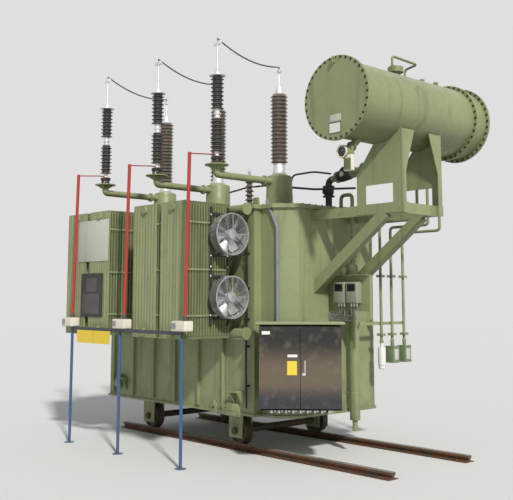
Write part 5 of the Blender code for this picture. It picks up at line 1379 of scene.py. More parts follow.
@dataclass
class Phase:
    """One high-voltage phase: turret with its arm, bushing and surge arrester."""

    index: int
    bushing_y: float = -0.029
    arrester_y: float = -1.149
    arm_z: float = 3.600
    x: float = field(init=False)

    def __post_init__(self) -> None:
        """Find the phase's place along the tank."""
        self.x = Span(f"bushing_{self.index}").middle().x

    def build(self) -> None:
        """Make the phase's pieces."""
        self.turret()
        self.bushing()
        self.arrester()
        self.jumper()

    def turret(self) -> None:
        """Turret with its sloping shoulder, and the arm and disc that carry the arrester."""
        bench = Bench()
        low = COVER_TOP
        profile = [(0.0, 0.0), (0.217, 0.0), (0.217, 0.030), (0.191, 0.030), (0.187, 0.038), (0.175, 0.428),
                   (0.172, 0.437), (0.104, 0.467), (0.099, 0.470), (0.0, 0.470)]
        bench.lathe(profile, (self.x, self.bushing_y, low), Way.UP, 72)
        bench.bolt_circle((self.x, self.bushing_y, low + 0.030), Way.UP, 0.204, 16, 0.009)
        reach = [(self.x, self.bushing_y - 0.150, self.arm_z), (self.x, self.arrester_y, self.arm_z),
                 (self.x, self.arrester_y, DISC_LOW)]
        bench.tube(bend_route(reach, 0.050), 0.047, 8)
        for start in (0.275, 0.2865):
            bench.bar((self.x, self.bushing_y - start, self.arm_z),
                      (self.x, self.bushing_y - start - 0.0105, self.arm_z), 0.068, sides=40)
        bench.bolt_circle((self.x, self.bushing_y - 0.297, self.arm_z), Way.NEAR, 0.058, 6, 0.007)
        hub = Vector((self.x, self.arrester_y, DISC_LOW))
        bench.lathe([(0.0, 0.0), (0.153, 0.0), (0.155, 0.0015), (0.155, 0.0125), (0.153, 0.0140),
                     (0.0, 0.0140)], hub, Way.UP, 64)
        for angle in (45.0, 135.0, 225.0, 315.0):
            out = around(math.radians(angle))
            across = Vector((-out.y, out.x, 0.0)) * 0.004
            corners = [hub + out * 0.042, hub + out * 0.130, hub + out * 0.046 - Vector((0.0, 0.0, 0.055))]
            bench.prism([corner - across for corner in corners], across * 2)
        bench.finish(f"turret_{self.index}_body", GREEN, stands_for=(f"turret_{self.index}",))

    def bushing(self) -> None:
        """Bushing: pale neck, brown sheds and a stepped cap with its terminal."""
        bench = Bench()
        low, base, top = 3.7089, 3.8590, 4.8309
        bench.lathe([(0.0, 0.0), (0.097, 0.0), (0.098, 0.002), (0.098, 0.018), (0.096, 0.021), (0.088, 0.024),
                     (0.086, 0.060), (0.077, 0.130), (0.084, 0.136), (0.084, 0.148), (0.0, 0.150)],
                    (self.x, self.bushing_y, low), Way.UP, 64)
        bench.bolt_circle((self.x, self.bushing_y, low + 0.020), Way.UP, 0.0925, 12, 0.005)
        bench.lathe([(0.0, -0.001), (0.069, -0.001), (0.070, 0.003), (0.070, 0.026), (0.066, 0.030),
                     (0.056, 0.032), (0.054, 0.050), (0.050, 0.054), (0.046, 0.084), (0.040, 0.090),
                     (0.036, 0.110), (0.020, 0.114), (0.012, 0.116), (0.012, 0.363), (0.010, 0.367),
                     (0.0, 0.367)], (self.x, self.bushing_y, top), Way.UP, 48)
        bench.bolt_circle((self.x, self.bushing_y, top + 0.030), Way.UP, 0.061, 6, 0.005)
        self.clamp(bench, self.bushing_y, (0.028, 0.020), (5.143, 5.193), 0.020, 0.012, 0.006)
        bench.finish(f"bushing_{self.index}_metal", CAST_WHITE, stands_for=(f"bushing_{self.index}",))
        sheds = Bench()
        end = top - 0.001
        outline = [(0.0, base)] + shed_profile(base + 0.0002, end, 18, 0.098, 0.120) + [(0.0, end)]
        sheds.lathe(outline, (self.x, self.bushing_y, 0.0), Way.UP, 64)
        sheds.finish(f"bushing_{self.index}_sheds", PORCELAIN)

    def clamp(self, bench: Bench, y: float, half: tuple[float, float], heights: tuple[float, float],
              bolt_x: float, inset: float, size: float) -> None:
        """Clamp of the jumper on a rod or terminal, with four bolts.

        Args:
            bench: where it is added.
            y: place of the rod.
            half: half its width and half its depth.
            heights: where it starts and ends.
            bolt_x: from its middle to its bolts.
            inset: from its lower and upper edge to its bolts.
            size: radius of a bolt's head.
        """
        low, high = heights
        bench.block((self.x - half[0], y - half[1], low), (self.x + half[0], y + half[1], high), 0.004)
        for side in (-1, 1):
            bench.bolts([(self.x + side * bolt_x, y - half[1], z) for z in (low + inset, high - inset)],
                        Way.NEAR, size)

    def arrester(self) -> None:
        """Surge arrester of two units on three insulating feet."""
        place = Vector((self.x, self.arrester_y, 0.0))
        low, joint, top = 3.7293, 4.3313, 4.8953
        metal = Bench()
        for height, sides, profile in (
                (low, 40, [(0.0, 0.104), (0.040, 0.104), (0.040, 0.112), (0.030, 0.116), (0.030, 0.158),
                           (0.036, 0.160), (0.036, 0.165), (0.0, 0.165)]),
                (joint, 48, [(0.0, 0.0), (0.044, 0.0), (0.046, 0.004), (0.046, 0.018), (0.036, 0.022),
                             (0.035, 0.050), (0.050, 0.053), (0.050, 0.062), (0.036, 0.0635), (0.050, 0.065),
                             (0.050, 0.074), (0.035, 0.077), (0.036, 0.105), (0.046, 0.109), (0.046, 0.123),
                             (0.044, 0.127), (0.0, 0.127)]),
                (top, 40, [(0.0, 0.0), (0.105, 0.0), (0.107, 0.002), (0.107, 0.008), (0.105, 0.010),
                           (0.036, 0.011), (0.034, 0.060), (0.026, 0.072), (0.014, 0.078), (0.014, 0.474),
                           (0.011, 0.478), (0.0, 0.478)])):
            metal.lathe(profile, place + Vector((0.0, 0.0, height)), Way.UP, sides)
        metal.bolt_circle((self.x, self.arrester_y, joint + 0.074), Way.UP, 0.043, 4, 0.005, 0.7)
        self.clamp(metal, self.arrester_y, (0.065, 0.016), (5.316, 5.368), 0.042, 0.014, 0.0055)
        metal.finish(f"arrester_{self.index}_metal", CAST_WHITE, stands_for=(f"arrester_{self.index}",))
        self.feet(low)
        sheds = Bench()
        for base, end in ((low + 0.165, joint), (joint + 0.127, top)):
            outline = [(0.0, base)] + shed_profile(base, end, 8, 0.054, 0.086, 0.066) + [(0.0, end)]
            sheds.lathe(outline, place, Way.UP, 56)
        sheds.finish(f"arrester_{self.index}_sheds", SILICONE)

    def feet(self, low: float) -> None:
        """Small insulators under the arrester, the dark base on them, and their nuts.

        Args:
            low: top of the disc that they stand on.
        """
        feet = Bench()
        for angle in (90.0, 210.0, 330.0):
            out = around(math.radians(angle), 0.050)
            x, y = self.x + out.x, self.arrester_y + out.y
            feet.lathe([(0.0, 0.0), (0.020, 0.0), (0.020, 0.010), (0.015, 0.014), (0.015, 0.022),
                        (0.024, 0.028), (0.024, 0.034), (0.015, 0.040), (0.019, 0.050), (0.019, 0.060),
                        (0.0, 0.060)], (x, y, low), Way.UP, 28)
            feet.bolts([(x, y, DISC_LOW - 0.0002)], Way.DOWN, 0.009)
        feet.finish(f"arrester_{self.index}_feet", PORCELAIN)
        base = Bench()
        base.block((self.x - 0.056, self.arrester_y - 0.056, low + 0.060),
                   (self.x + 0.056, self.arrester_y + 0.056, low + 0.105), 0.008, steps=3)
        base.finish(f"arrester_{self.index}_base", BLACK_STEEL)

    def jumper(self) -> None:
        """Bare conductor that sags from the arrester's rod to the bushing's terminal."""
        radius, sag, rise, steps = 0.011, 0.10, 0.03, 10
        start = Vector((self.x, self.arrester_y, 5.3746 + rise))
        end = Vector((self.x, self.bushing_y, 5.1988 + rise))
        route = [start - Vector((0.0, 0.0, rise))]
        for step in range(steps + 1):
            share = step / steps
            point = start.lerp(end, share)
            point.z -= 4 * sag * share * (1 - share)
            route.append(point)
        route.append(end - Vector((0.0, 0.0, rise)))
        bench = Bench()
        bench.tube(route, radius - 0.0008, 3)
        piece = bench.finish(f"jumper_{self.index}_wire", DULL_WIRE, stands_for=(f"jumper_{self.index}",))


@dataclass
class Neutral:
    """Neutral bushing and its arrester on the cover."""

    def build(self) -> None:
        """Make both."""
        self.bushing()
        self.arrester()

    def bushing(self) -> None:
        """Short brown bushing with a metal base and a terminal."""
        span = Span("neutral_bushing")
        place = (-0.0885, -0.039, 0.0)
        low, top = span.low.z, span.high.z
        bench = Bench()
        bench.lathe([(0.0, low), (0.071, low), (0.071, low + 0.016), (0.050, low + 0.020),
                     (0.046, low + 0.070),
                     (0.040, low + 0.078), (0.0, low + 0.078)], place, Way.UP, 40)
        bench.bolt_circle((place[0], place[1], low + 0.016), Way.UP, 0.060, 6, 0.008)
        bench.lathe([(0.0, top - 0.160), (0.034, top - 0.160), (0.036, top - 0.130), (0.024, top - 0.118),
                     (0.012, top - 0.112), (0.012, top - 0.002), (0.0, top)], place, Way.UP, 32)
        bench.bolts([Vector((place[0], place[1], top - z)) for z in (0.105, 0.075)], Way.UP, 0.020)
        bench.block((place[0] - 0.020, place[1] - 0.030, top - 0.052), (place[0] + 0.020, place[1] + 0.010,
                                                                        top - 0.044), 0.002)
        bench.finish("neutral_bushing_metal", ALUMINIUM, stands_for=("neutral_bushing",))
        sheds = Bench()
        outline = [(0.0, low + 0.078)] + shed_profile(low + 0.078, top - 0.160, 6, 0.036, 0.066)
        sheds.lathe(outline + [(0.0, top - 0.160)], place, Way.UP, 48)
        sheds.finish("neutral_bushing_sheds", PORCELAIN)

    def arrester(self) -> None:
        """Neutral arrester on its short post."""
        place = (-1.2385, 0.261, 0.0)
        low, top = COVER_TOP, 4.1386
        bench = Bench()
        bench.lathe([(0.0, low), (0.068, low), (0.068, low + 0.014), (0.030, low + 0.018),
                     (0.026, low + 0.290),
                     (0.060, low + 0.296), (0.062, low + 0.312), (0.040, low + 0.320), (0.040, low + 0.350),
                     (0.0, low + 0.350)], place, Way.UP, 36)
        bench.bolt_circle((place[0], place[1], low + 0.014), Way.UP, 0.052, 4, 0.008)
        bench.lathe([(0.0, top - 0.150), (0.044, top - 0.150), (0.046, top - 0.120), (0.030, top - 0.108),
                     (0.012, top - 0.100), (0.010, top - 0.004), (0.0, top)], place, Way.UP, 32)
        bench.bolts([Vector((place[0], place[1], top - 0.085))], Way.UP, 0.020)
        bench.finish("neutral_arrester_metal", ALUMINIUM, stands_for=("neutral_arrester",))
        sheds = Bench()
        outline = [(0.0, low + 0.350)] + shed_profile(low + 0.350, top - 0.150, 7, 0.038, 0.066)
        sheds.lathe(outline + [(0.0, top - 0.150)], place, Way.UP, 48)
        sheds.finish("neutral_arrester_sheds", SILICONE)


@dataclass
class Conservator:
    """Oil drum on its two supports, with its covers, flanges, nozzle and vent."""

    x: float = 2.2285
    z: float = 4.370
    radius: float = 0.462
    lip: float = 0.510
    bolt_line: float = 0.487
    bolts: int = 36
    joint_y: float = 1.451

    def build(self) -> None:
        """Make the drum and its fittings."""
        for node in ("support_near", "support_far", "support_tie"):
            dress(node, GREEN)
        self.drum()
        self.caps()
        self.support_bolts()
        self.plates()

    def drum(self) -> None:
        """Drum with its end lips, its joint's pair of flanges, their bolts and the weld beads."""
        span = Span("conservator_shell")
        near, far = span.low.y, span.high.y
        axis = (self.x, 0.0, self.z)
        bench = Bench()
        wall = 0.008
        bench.lathe([(self.radius - wall, near), (self.radius, near), (self.radius, far),
                     (self.radius - wall, far)], axis, Way.FAR, 112, hoop=True)
        for start in (near, self.joint_y - 0.0205, self.joint_y + 0.0005, far - 0.020):
            bench.lathe([(self.radius - 0.004, start), (self.lip - 0.001, start), (self.lip, start + 0.001),
                         (self.lip, start + 0.019), (self.lip - 0.001, start + 0.020),
                         (self.radius - 0.004, start + 0.020)], axis, Way.FAR, 112, hoop=True)
        bolts = Bench()
        for y, way in ((near + 0.020, Way.FAR), (self.joint_y - 0.0205, Way.NEAR),
                       (self.joint_y + 0.0205, Way.FAR), (far - 0.020, Way.NEAR)):
            bolts.bolt_circle((self.x, y, self.z), way, self.bolt_line, self.bolts, 0.0125)
        bolts.finish("drum_bolts", BLACK_STEEL)
        self.top_fittings(bench)
        for y in (-0.30, 0.20, 0.62, 1.10):
            weld = self.radius + 0.0008
            bench.lathe([(weld - 0.003, y - 0.005), (weld, y - 0.002), (weld, y + 0.002),
                         (weld - 0.003, y + 0.005)],
                        axis, Way.FAR, 112, hoop=True)
        bench.finish("conservator_drum", GREEN, stands_for=("conservator_shell",))

    def top_fittings(self, bench: Bench) -> None:
        """Nozzle, filler nub, vent pipe and lifting lugs on the drum's top.

        Args:
            bench: where they are added.
        """
        top = self.z + self.radius
        nozzle_y, nub_y = 0.391, 0.951
        leave, meet, side = 0.326, 0.846, self.x - 0.20
        for y, low, high, radius, sides in (
                (nozzle_y, -0.012, 0.052, 0.050, 36), (nozzle_y, 0.051, 0.0845, 0.100, 48),
                (nozzle_y, 0.0855, 0.119, 0.100, 48), (nub_y, -0.012, 0.063, 0.030, 32),
                (nub_y, 0.040, 0.056, 0.034, 8), (leave, 0.119, 0.140, 0.024, 6)):
            bench.post(self.x, y, top + low, top + high, radius, sides)
        bench.bolt_circle((self.x, nozzle_y, top + 0.119), Way.UP, 0.086, 8, 0.009)
        bench.bolt_circle((self.x, nozzle_y, top + 0.051), Way.DOWN, 0.086, 8, 0.009)
        route = [(self.x, leave, top + 0.107), (self.x, leave, 5.090), (self.x, meet, 5.075),
                 (side, meet, 5.045), (side, meet, 4.766)]
        bench.tube(bend_route(route, 0.050), 0.016, 6)
        for y in (-0.45, 1.25):
            bench.prism([(self.x - 0.060, y - 0.008, top - 0.010), (self.x + 0.060, y - 0.008, top - 0.010),
                         (self.x + 0.030, y - 0.008, top + 0.080), (self.x - 0.030, y - 0.008, top + 0.080)],
                        (0.0, 0.016, 0.0), 0.004)

    def caps(self) -> None:
        """Near and far covers with their bolts, and the near cover's lug."""
        for node, way in (("conservator_cap_near", Way.NEAR), ("conservator_cap_far", Way.FAR)):
            side = -1 if way is Way.NEAR else 1
            inner = -0.739 if way is Way.NEAR else 1.7313
            thick = 0.018 if way is Way.NEAR else 0.0107
            bench = Bench()
            bench.lathe([(0.0, 0.0), (self.lip, 0.0), (self.lip, thick - 0.002), (self.lip - 0.002, thick),
                         (0.470, thick), (0.440, thick), (0.0, thick)],
                        (self.x, inner, self.z), way, 112)
            size = 0.0125 if way is Way.NEAR else 0.0070
            bolts = Bench()
            bolts.bolt_circle((self.x, inner + side * thick, self.z), way, self.bolt_line, self.bolts, size)
            bolts.finish(node + "_bolts", BLACK_STEEL)
            if way is Way.NEAR:
                self.lug(bench, inner - thick)
            bench.finish(node + "_disc", GREEN, stands_for=(node,))

    def lug(self, bench: Bench, face: float) -> None:
        """Upright lug with an eye on the near cover.

        Args:
            bench: where it is added.
            face: the cover's outer face.
        """
        bench.block((self.x - 0.006, face - 0.060, 4.790), (self.x + 0.006, face + 0.002, 4.870), 0.004)
        eye = (self.x, face - 0.034, 4.834)
        bench.lathe([(0.012, -0.0075), (0.019, -0.0075), (0.019, 0.0075), (0.012, 0.0075)], eye, Way.RIGHT,
                    28,
                    hoop=True)
        # Painted shade: a dark rod fills the lug's eye, where there is only shade.
        hole = Bench()
        hole.bar((self.x - 0.0065, eye[1], eye[2]), (self.x + 0.0065, eye[1], eye[2]), 0.0121, sides=28)
        hole.finish("cap_lug_eye_shade", BLACK_RUBBER)

    def support_bolts(self) -> None:
        """Bolts on the supports' beams: on their near faces and on their tops."""
        bench = Bench()
        for node, y in (("support_near", 0.133), ("support_far", 0.679)):
            span = Span(node)
            for x in (1.30, 1.60, 2.55):
                bench.bolts([(x, span.low.y, 3.100)], Way.NEAR, 0.011)
            bench.bolts([(x, y + side * 0.045, 3.1652) for x in (1.34, 1.48) for side in (-1, 1)],
                        Way.UP, 0.009)
        bench.finish("support_bolts", GREEN)

    def plates(self) -> None:
        """Bare plates on the near cover."""
        face = -0.7572
        frame_plate = Bench()
        frame_plate.block((2.117, face - 0.0020, 3.941), (2.309, face, 4.075), 0.0006, steps=1)
        frame_plate.finish("drum_plate_border", DARK_PLATE)
        white = Bench()
        white.block((2.127, face - 0.0036, 3.951), (2.299, face - 0.0021, 4.065), 0.0004, steps=1)
        white.finish("drum_plate_white", WHITE)
        green = Bench()
        green.block((2.137, face - 0.0030, 4.085), (2.310, face, 4.169), 0.001)
        green.block((2.150, face - 0.0045, 4.097), (2.297, face - 0.0031, 4.157), 0.0004, steps=1)
        green.finish("drum_plate_framed", PALE_PLATE)


@dataclass
class OilPipe:
    """Pipe from the cover to the drum, with its valve, elbow and gas relay."""

    y: float = 0.461
    start: Point = (0.9815, 0.461, COVER_TOP)
    knee: Point = (1.8015, 0.461, 3.748)
    rise_x: float = 2.0115
    radius: float = 0.045

    def build(self) -> None:
        """Make the pipe, valve and relay."""
        low = Vector(self.start)
        bench = Bench()
        corner = (low.x, self.y, 3.6236)
        along = (Vector(self.knee) - Vector(corner)).normalized()
        route = bend_route([low, corner, self.knee, (self.rise_x, self.y, self.knee[2] + 0.002),
                            (self.rise_x, self.y, 3.9449)], 0.075)
        elbow_end = 10
        bench.tube(route[elbow_end - 1:], self.radius, 8)
        bench.paint = 1
        bench.tube(route[:elbow_end], self.radius, 8)
        bench.paint = 0
        bench.lathe([(0.0, 0.0), (0.085, 0.0), (0.085, 0.018), (self.radius, 0.020), (0.0, 0.020)], low,
                    Way.UP, 48)
        bench.bolt_circle(low + Vector((0.0, 0.0, 0.018)), Way.UP, 0.068, 8, 0.008)
        relay = Vector((1.293, self.y, 3.6716))
        for share in (-0.128, -0.148, 0.128, 0.148):
            middle = relay + along * share
            bench.bar(middle - along * 0.007, middle + along * 0.007, 0.078, sides=48)
        joint = Vector((1.62, self.y, 3.6236 + (1.62 - low.x) * along.z / along.x))
        for shift in (-0.009, 0.009):
            bench.bar(joint + along * (shift - 0.007), joint + along * (shift + 0.007), 0.078, sides=48)
        bench.finish("oil_pipe_run", GREEN, BLACK_STEEL, stands_for=("oil_pipe",))
        self.valve(low)
        self.relay(relay, along)
        self.thin_pipes()

    def thin_pipes(self) -> None:
        """Dark vent pipes from two turrets to the gas relay's elbow and the near support."""
        bench = Bench()
        for route, radius in (
                ([(0.628, 0.095, 3.6220), (0.640, 0.105, 3.700), (0.900, 0.250, 3.733),
                  (1.063, 0.425, 3.705)], 0.013),
                ([(0.636, 0.095, 3.528), (0.860, 0.300, 3.500), (1.620, 0.275, 3.440)], 0.015),
                ([(-0.690, 0.085, 3.575), (-0.420, 0.210, 3.640), (0.120, 0.300, 3.640),
                  (0.260, 0.300, 3.600),
                  (0.385, 0.090, 3.560)], 0.013)):
            bench.tube(bend_route(route, 0.060), radius, 4)
        bench.finish("vent_pipes", BLACK_STEEL)

    def valve(self, low: Vector) -> None:
        """Round valve body on the riser with its spindle.

        Args:
            low: foot of the riser.
        """
        bench = Bench()
        middle = low + Vector((0.0, 0.0, 0.230))
        bench.lathe([(0.045, -0.075), (0.082, -0.075), (0.082, -0.058), (0.056, -0.050), (0.070, -0.024),
                     (0.074, 0.0), (0.070, 0.024), (0.056, 0.050), (0.082, 0.058), (0.082, 0.075),
                     (0.045, 0.075)],
                    middle, Way.UP, 48, hoop=True)
        bench.bolt_circle(middle + Vector((0.0, 0.0, 0.075)), Way.UP, 0.068, 8, 0.008)
        bench.lathe([(0.0, 0.050), (0.046, 0.050), (0.046, 0.080), (0.030, 0.086), (0.014, 0.088),
                     (0.014, 0.112),
                     (0.0, 0.114)], middle, Way.NEAR, 36)
        bench.bolt_circle(middle - Vector((0.0, 0.080, 0.0)), Way.NEAR, 0.036, 6, 0.006)
        bench.finish("oil_valve", BLACK_STEEL)

    def relay(self, centre: Vector, along: Vector) -> None:
        """Gas relay: ribbed body with a lid, window and terminal box.

        Args:
            centre: its middle.
            along: direction of the pipe.
        """
        bench = Bench()
        bench.lathe([(0.0, -0.120), (0.060, -0.120), (0.066, -0.095), (0.083, -0.080), (0.085, -0.060),
                     (0.085, 0.060), (0.083, 0.080), (0.066, 0.095), (0.060, 0.120), (0.0, 0.120)],
                    centre, along, 48)
        up = Vector((-along.z, 0.0, along.x))
        lid = centre + up * 0.070
        bench.bar(lid, lid + up * 0.018, 0.070, sides=8)
        bench.bar(lid + up * 0.018, lid + up * 0.034, 0.046, sides=32)
        bench.bolts([lid + up * 0.018 + Vector((0.0, side * 0.056, 0.0)) for side in (-1, 1)], up, 0.007)
        bench.finish("gas_relay_body", BLACK_STEEL)
        window = Bench()
        face = Vector((centre.x, self.y - 0.0835, centre.z))
        window.lathe([(0.0, 0.0), (0.034, 0.0), (0.034, 0.004), (0.030, 0.006), (0.0, 0.006)], face, Way.NEAR,
                     36)
        window.finish("gas_relay_window", PALE_PLATE)


@dataclass
class LevelGauge:
    """Dial and switch box under the drum's near end."""

    def build(self) -> None:
        """Make the gauge in its node's place."""
        face = (2.2285, -0.599, 3.735)
        bench = Bench()
        neck_start, neck_end = Vector((2.2285, -0.539, 3.770)), Vector((2.2285, -0.379, 3.908))
        bench.bar(neck_start, neck_end - Vector((0.0, 0.0, 0.002)), 0.046, sides=36)
        bench.lathe([(0.0, -0.106), (0.052, -0.106), (0.055, -0.100), (0.055, -0.010), (0.080, -0.004),
                     (0.080, 0.052), (0.0, 0.052)], face, Way.NEAR, 56)
        bench.bar(neck_start + Vector((0.0, 0.050, 0.043)), neck_start + Vector((0.0, 0.062, 0.0535)), 0.062,
                  sides=40)
        bench.finish("gauge_body", GREEN, stands_for=("level_gauge",))
        ring = Bench()
        ring.lathe([(0.062, 0.052), (0.080, 0.052), (0.080, 0.066), (0.076, 0.070), (0.066, 0.069),
                    (0.062, 0.064)],
                   face, Way.NEAR, 64, hoop=True)
        ring.block((2.2275, -0.634, 3.502), (2.3555, -0.576, 3.698), 0.010, steps=3)
        ring.finish("gauge_rim", CREAM)
        glass = Bench()
        glass.lathe([(0.0, 0.0521), (0.0618, 0.0521), (0.0618, 0.061), (0.0, 0.063)], face, Way.NEAR, 64)
        glass.finish("gauge_dial", DIAL)
        marks = Bench()
        for step in range(9):
            turn = math.radians(-120 + step * 30)
            out = Vector((math.sin(turn), 0.0, math.cos(turn)))
            start = Vector((face[0], -0.6615, face[2])) + out * 0.046
            marks.bar(start, start + out * 0.012, 0.0014, sides=8)
        needle = Vector((face[0], -0.6626, face[2]))
        marks.bar(needle, needle + Vector((0.024, 0.0, 0.028)), 0.0018, sides=8)
        marks.finish("gauge_marks", WHITE)
        window = Bench()
        window.block((2.2385, -0.6385, 3.514), (2.3445, -0.6338, 3.652), 0.002)
        window.finish("gauge_box_lid", OLIVE)


@dataclass
class ReliefPipe:
    """Pressure-relief pipe down the tank's end with its device on the cover."""

    x: float = 1.2615
    y: float = 0.624
    seat_x: float = 1.0615          # where the pipe stands on the cover

    def build(self) -> None:
        """Make the pipe, its flanges and clamps."""
        place = (self.x, self.y, 0.0)
        bench = Bench()
        bench.lathe([(0.0, 0.290), (0.033, 0.290), (0.035, 0.292), (0.035, 0.425), (0.066, 0.430),
                     (0.068, 0.434),
                     (0.068, 2.430), (0.060, 2.448), (0.030, 2.468), (0.026, 2.478), (0.0, 2.480)], place,
                    Way.UP, 48)
        route = bend_route([(self.x, self.y, 2.470), (self.x, self.y, 3.4199), (self.seat_x, self.y, 3.4199),
                            (self.seat_x, self.y, COVER_TOP)], 0.070)
        bench.tube(route, 0.026, 6)
        for z in (2.560, 2.576, 3.020, 3.036):
            bench.post(self.x, self.y, z, z + 0.012, 0.050, 36)
        bench.bolt_circle((self.x, self.y, 2.588), Way.UP, 0.040, 4, 0.006)
        bench.bolt_circle((self.x, self.y, 3.048), Way.UP, 0.040, 4, 0.006)
        bench.post(self.seat_x, self.y, COVER_TOP, 3.254, 0.052, 36)
        bench.bolt_circle((self.seat_x, self.y, 3.254), Way.UP, 0.040, 4, 0.007)
        for z in (0.780, 2.120):
            bench.lathe([(0.068, -0.014), (0.0735, -0.014), (0.0735, 0.014), (0.068, 0.014)],
                        (self.x, self.y, z),
                        Way.UP, 48, hoop=True)
            bench.block((1.1218, self.y - 0.030, z - 0.014), (self.x - 0.066, self.y + 0.030, z + 0.014),
                        0.003)
        bench.finish("relief_pipe_run", GREEN, stands_for=("relief_pipe",))


@dataclass
class Breathers:
    """Three dryers on their bar, with pipes up to the drum."""

    x: float = 1.4215
    drum_x: float = 2.0615          # where the pipes meet the drum
    rows: tuple[tuple[float, float], ...] = ((1.001, 3.05), (1.231, 2.99), (1.491, 2.93))
    radius: float = 0.020

    def build(self) -> None:
        """Dress the bar and make each dryer."""
        dress("breather_holder", GREEN)
        for index, (y, turn_z) in enumerate(self.rows, 1):
            self.pipe(index, y, turn_z)
            if index == 1:
                self.glass_dryer(y)
            else:
                self.box_dryer(index, y)

    def pipe(self, index: int, y: float, turn_z: float) -> None:
        """Pipe from a dryer to the drum.

        Args:
            index: number of the dryer.
            y: its place along the tank's end.
            turn_z: height at which the pipe turns.
        """
        span = Span(f"breather_{index}")
        route = bend_route([(self.x, y, 1.375), (self.x, y, turn_z), (self.drum_x, y, turn_z),
                            (self.drum_x, y, span.high.z - 0.0002)], 0.060)
        bench = Bench()
        bench.tube(route, self.radius, 5)
        for z in (1.515, 1.533, 2.300, 2.318):
            bench.block((self.x - 0.044, y - 0.044, z), (self.x + 0.044, y + 0.044, z + 0.014), 0.003)
            bench.bolts([Vector((self.x + i * 0.031, y + j * 0.031,
                                 z + 0.014)) for i in (-1, 1) for j in (-1, 1)],
                        Way.UP, 0.005, False)
        bench.post(self.x, y, 1.420, 1.455, 0.028, 6)
        bench.post(self.drum_x, y, 3.20, 3.235, 0.030, 6)
        bench.finish(f"breather_{index}_pipe", GREEN, stands_for=(f"breather_{index}",))

    def glass_dryer(self, y: float) -> None:
        """White dryer with a rounded cup."""
        bench = Bench()
        bench.lathe([(0.0, 1.075), (0.030, 1.076), (0.040, 1.082), (0.044, 1.094), (0.044, 1.122),
                     (0.050, 1.128),
                     (0.052, 1.134), (0.052, 1.352), (0.046, 1.364), (0.024, 1.370), (0.022, 1.420),
                     (0.0, 1.421)],
                    (self.x, y, 0.0), Way.UP, 48)
        bench.finish("breather_1_cup", WHITE)

    def box_dryer(self, index: int, y: float) -> None:
        """Green box dryer with a pale window.

        Args:
            index: its number.
            y: its place along the tank's end.
        """
        bench = Bench()
        bench.block((self.x - 0.067, y - 0.067, 1.165), (self.x + 0.067, y + 0.067, 1.360), 0.006)
        bench.block((self.x - 0.070, y - 0.070, 1.358), (self.x + 0.070, y + 0.070, 1.375), 0.004)
        bench.block((self.x - 0.070, y - 0.070, 1.150), (self.x + 0.070, y + 0.070, 1.167), 0.004)
        bench.post(self.x, y, 1.375, 1.421, 0.024)
        bench.finish(f"breather_{index}_box", JAR_GREEN)
        window = Bench()
        for side in (-1, 1):
            near = self.x + side * 0.0668
            far = self.x + side * 0.0700
            window.block((min(near, far), y - 0.040, 1.190), (max(near, far), y + 0.040, 1.335), 0.001)
        window.finish(f"breather_{index}_window", PALE_PLATE)


@dataclass
class Instruments:
    """Two indicators under a narrow canopy, with their glands and pocket pipes."""

    faces: tuple[tuple[float, float], ...] = ((1.279, 1.467), (1.493, 1.681))
    front: float = 0.2017
    back: float = 0.3077
    gland_y: float = 0.262
    low: float = 1.953
    high: float = 2.228

    def build(self) -> None:
        """Dress the plate and make the indicators."""
        dress("instrument_plate", GREEN)
        for index, (left, right) in enumerate(self.faces, 1):
            self.box(index, left, right)
        self.cables()

    def box(self, index: int, left: float, right: float) -> None:
        """One indicator with its dark window and blank cover.

        Args:
            index: its number.
            left: its lowest X.
            right: its highest X.
        """
        bench = Bench()
        bench.block((left, self.front + 0.012, self.low), (right, self.back, self.high), 0.010, steps=3)
        bench.block((left + 0.006, self.front, self.low + 0.006), (right - 0.006, self.front + 0.014,
                                                                  self.high - 0.006), 0.005, steps=2)
        bench.finish(f"indicator_{index}", GREEN_BOX, stands_for=(f"instrument_box_{index}",))
        window = Bench()
        window.block((left + 0.026, self.front - 0.0016, 2.105), (right - 0.026, self.front + 0.0002, 2.200),
                     0.0006, steps=1)
        window.finish(f"indicator_{index}_window", GLASS)
        glands = Bench()
        for share in (0.25, 0.5, 0.75):
            x = left + (right - left) * share
            glands.post(x, self.gland_y, self.low, self.low - 0.026, 0.012, 6)
            glands.post(x, self.gland_y, self.low - 0.026, self.low - 0.040, 0.010)
        glands.finish(f"indicator_{index}_glands", BRIGHT_NUTS)

    def cables(self) -> None:
        """Pale cables from the glands back to the tank's wall."""
        bench = Bench()
        for left, right in self.faces:
            for share, drop in ((0.25, 0.130), (0.5, 0.100), (0.75, 0.160)):
                x = left + (right - left) * share
                route = soft_route([(x, 0.262, self.low - 0.036), (x, 0.262, self.low - drop),
                                    (x - 0.05, 0.270, self.low - drop - 0.050),
                                    (x - 0.14, 0.276, self.low - drop - 0.060),
                                    (1.150, 0.278, self.low - drop - 0.04),
                                    (1.130, 0.278, self.low - drop - 0.01)])
                bench.tube(route, 0.0055, 3)
        bench.finish("indicator_cables", GREY_PVC)


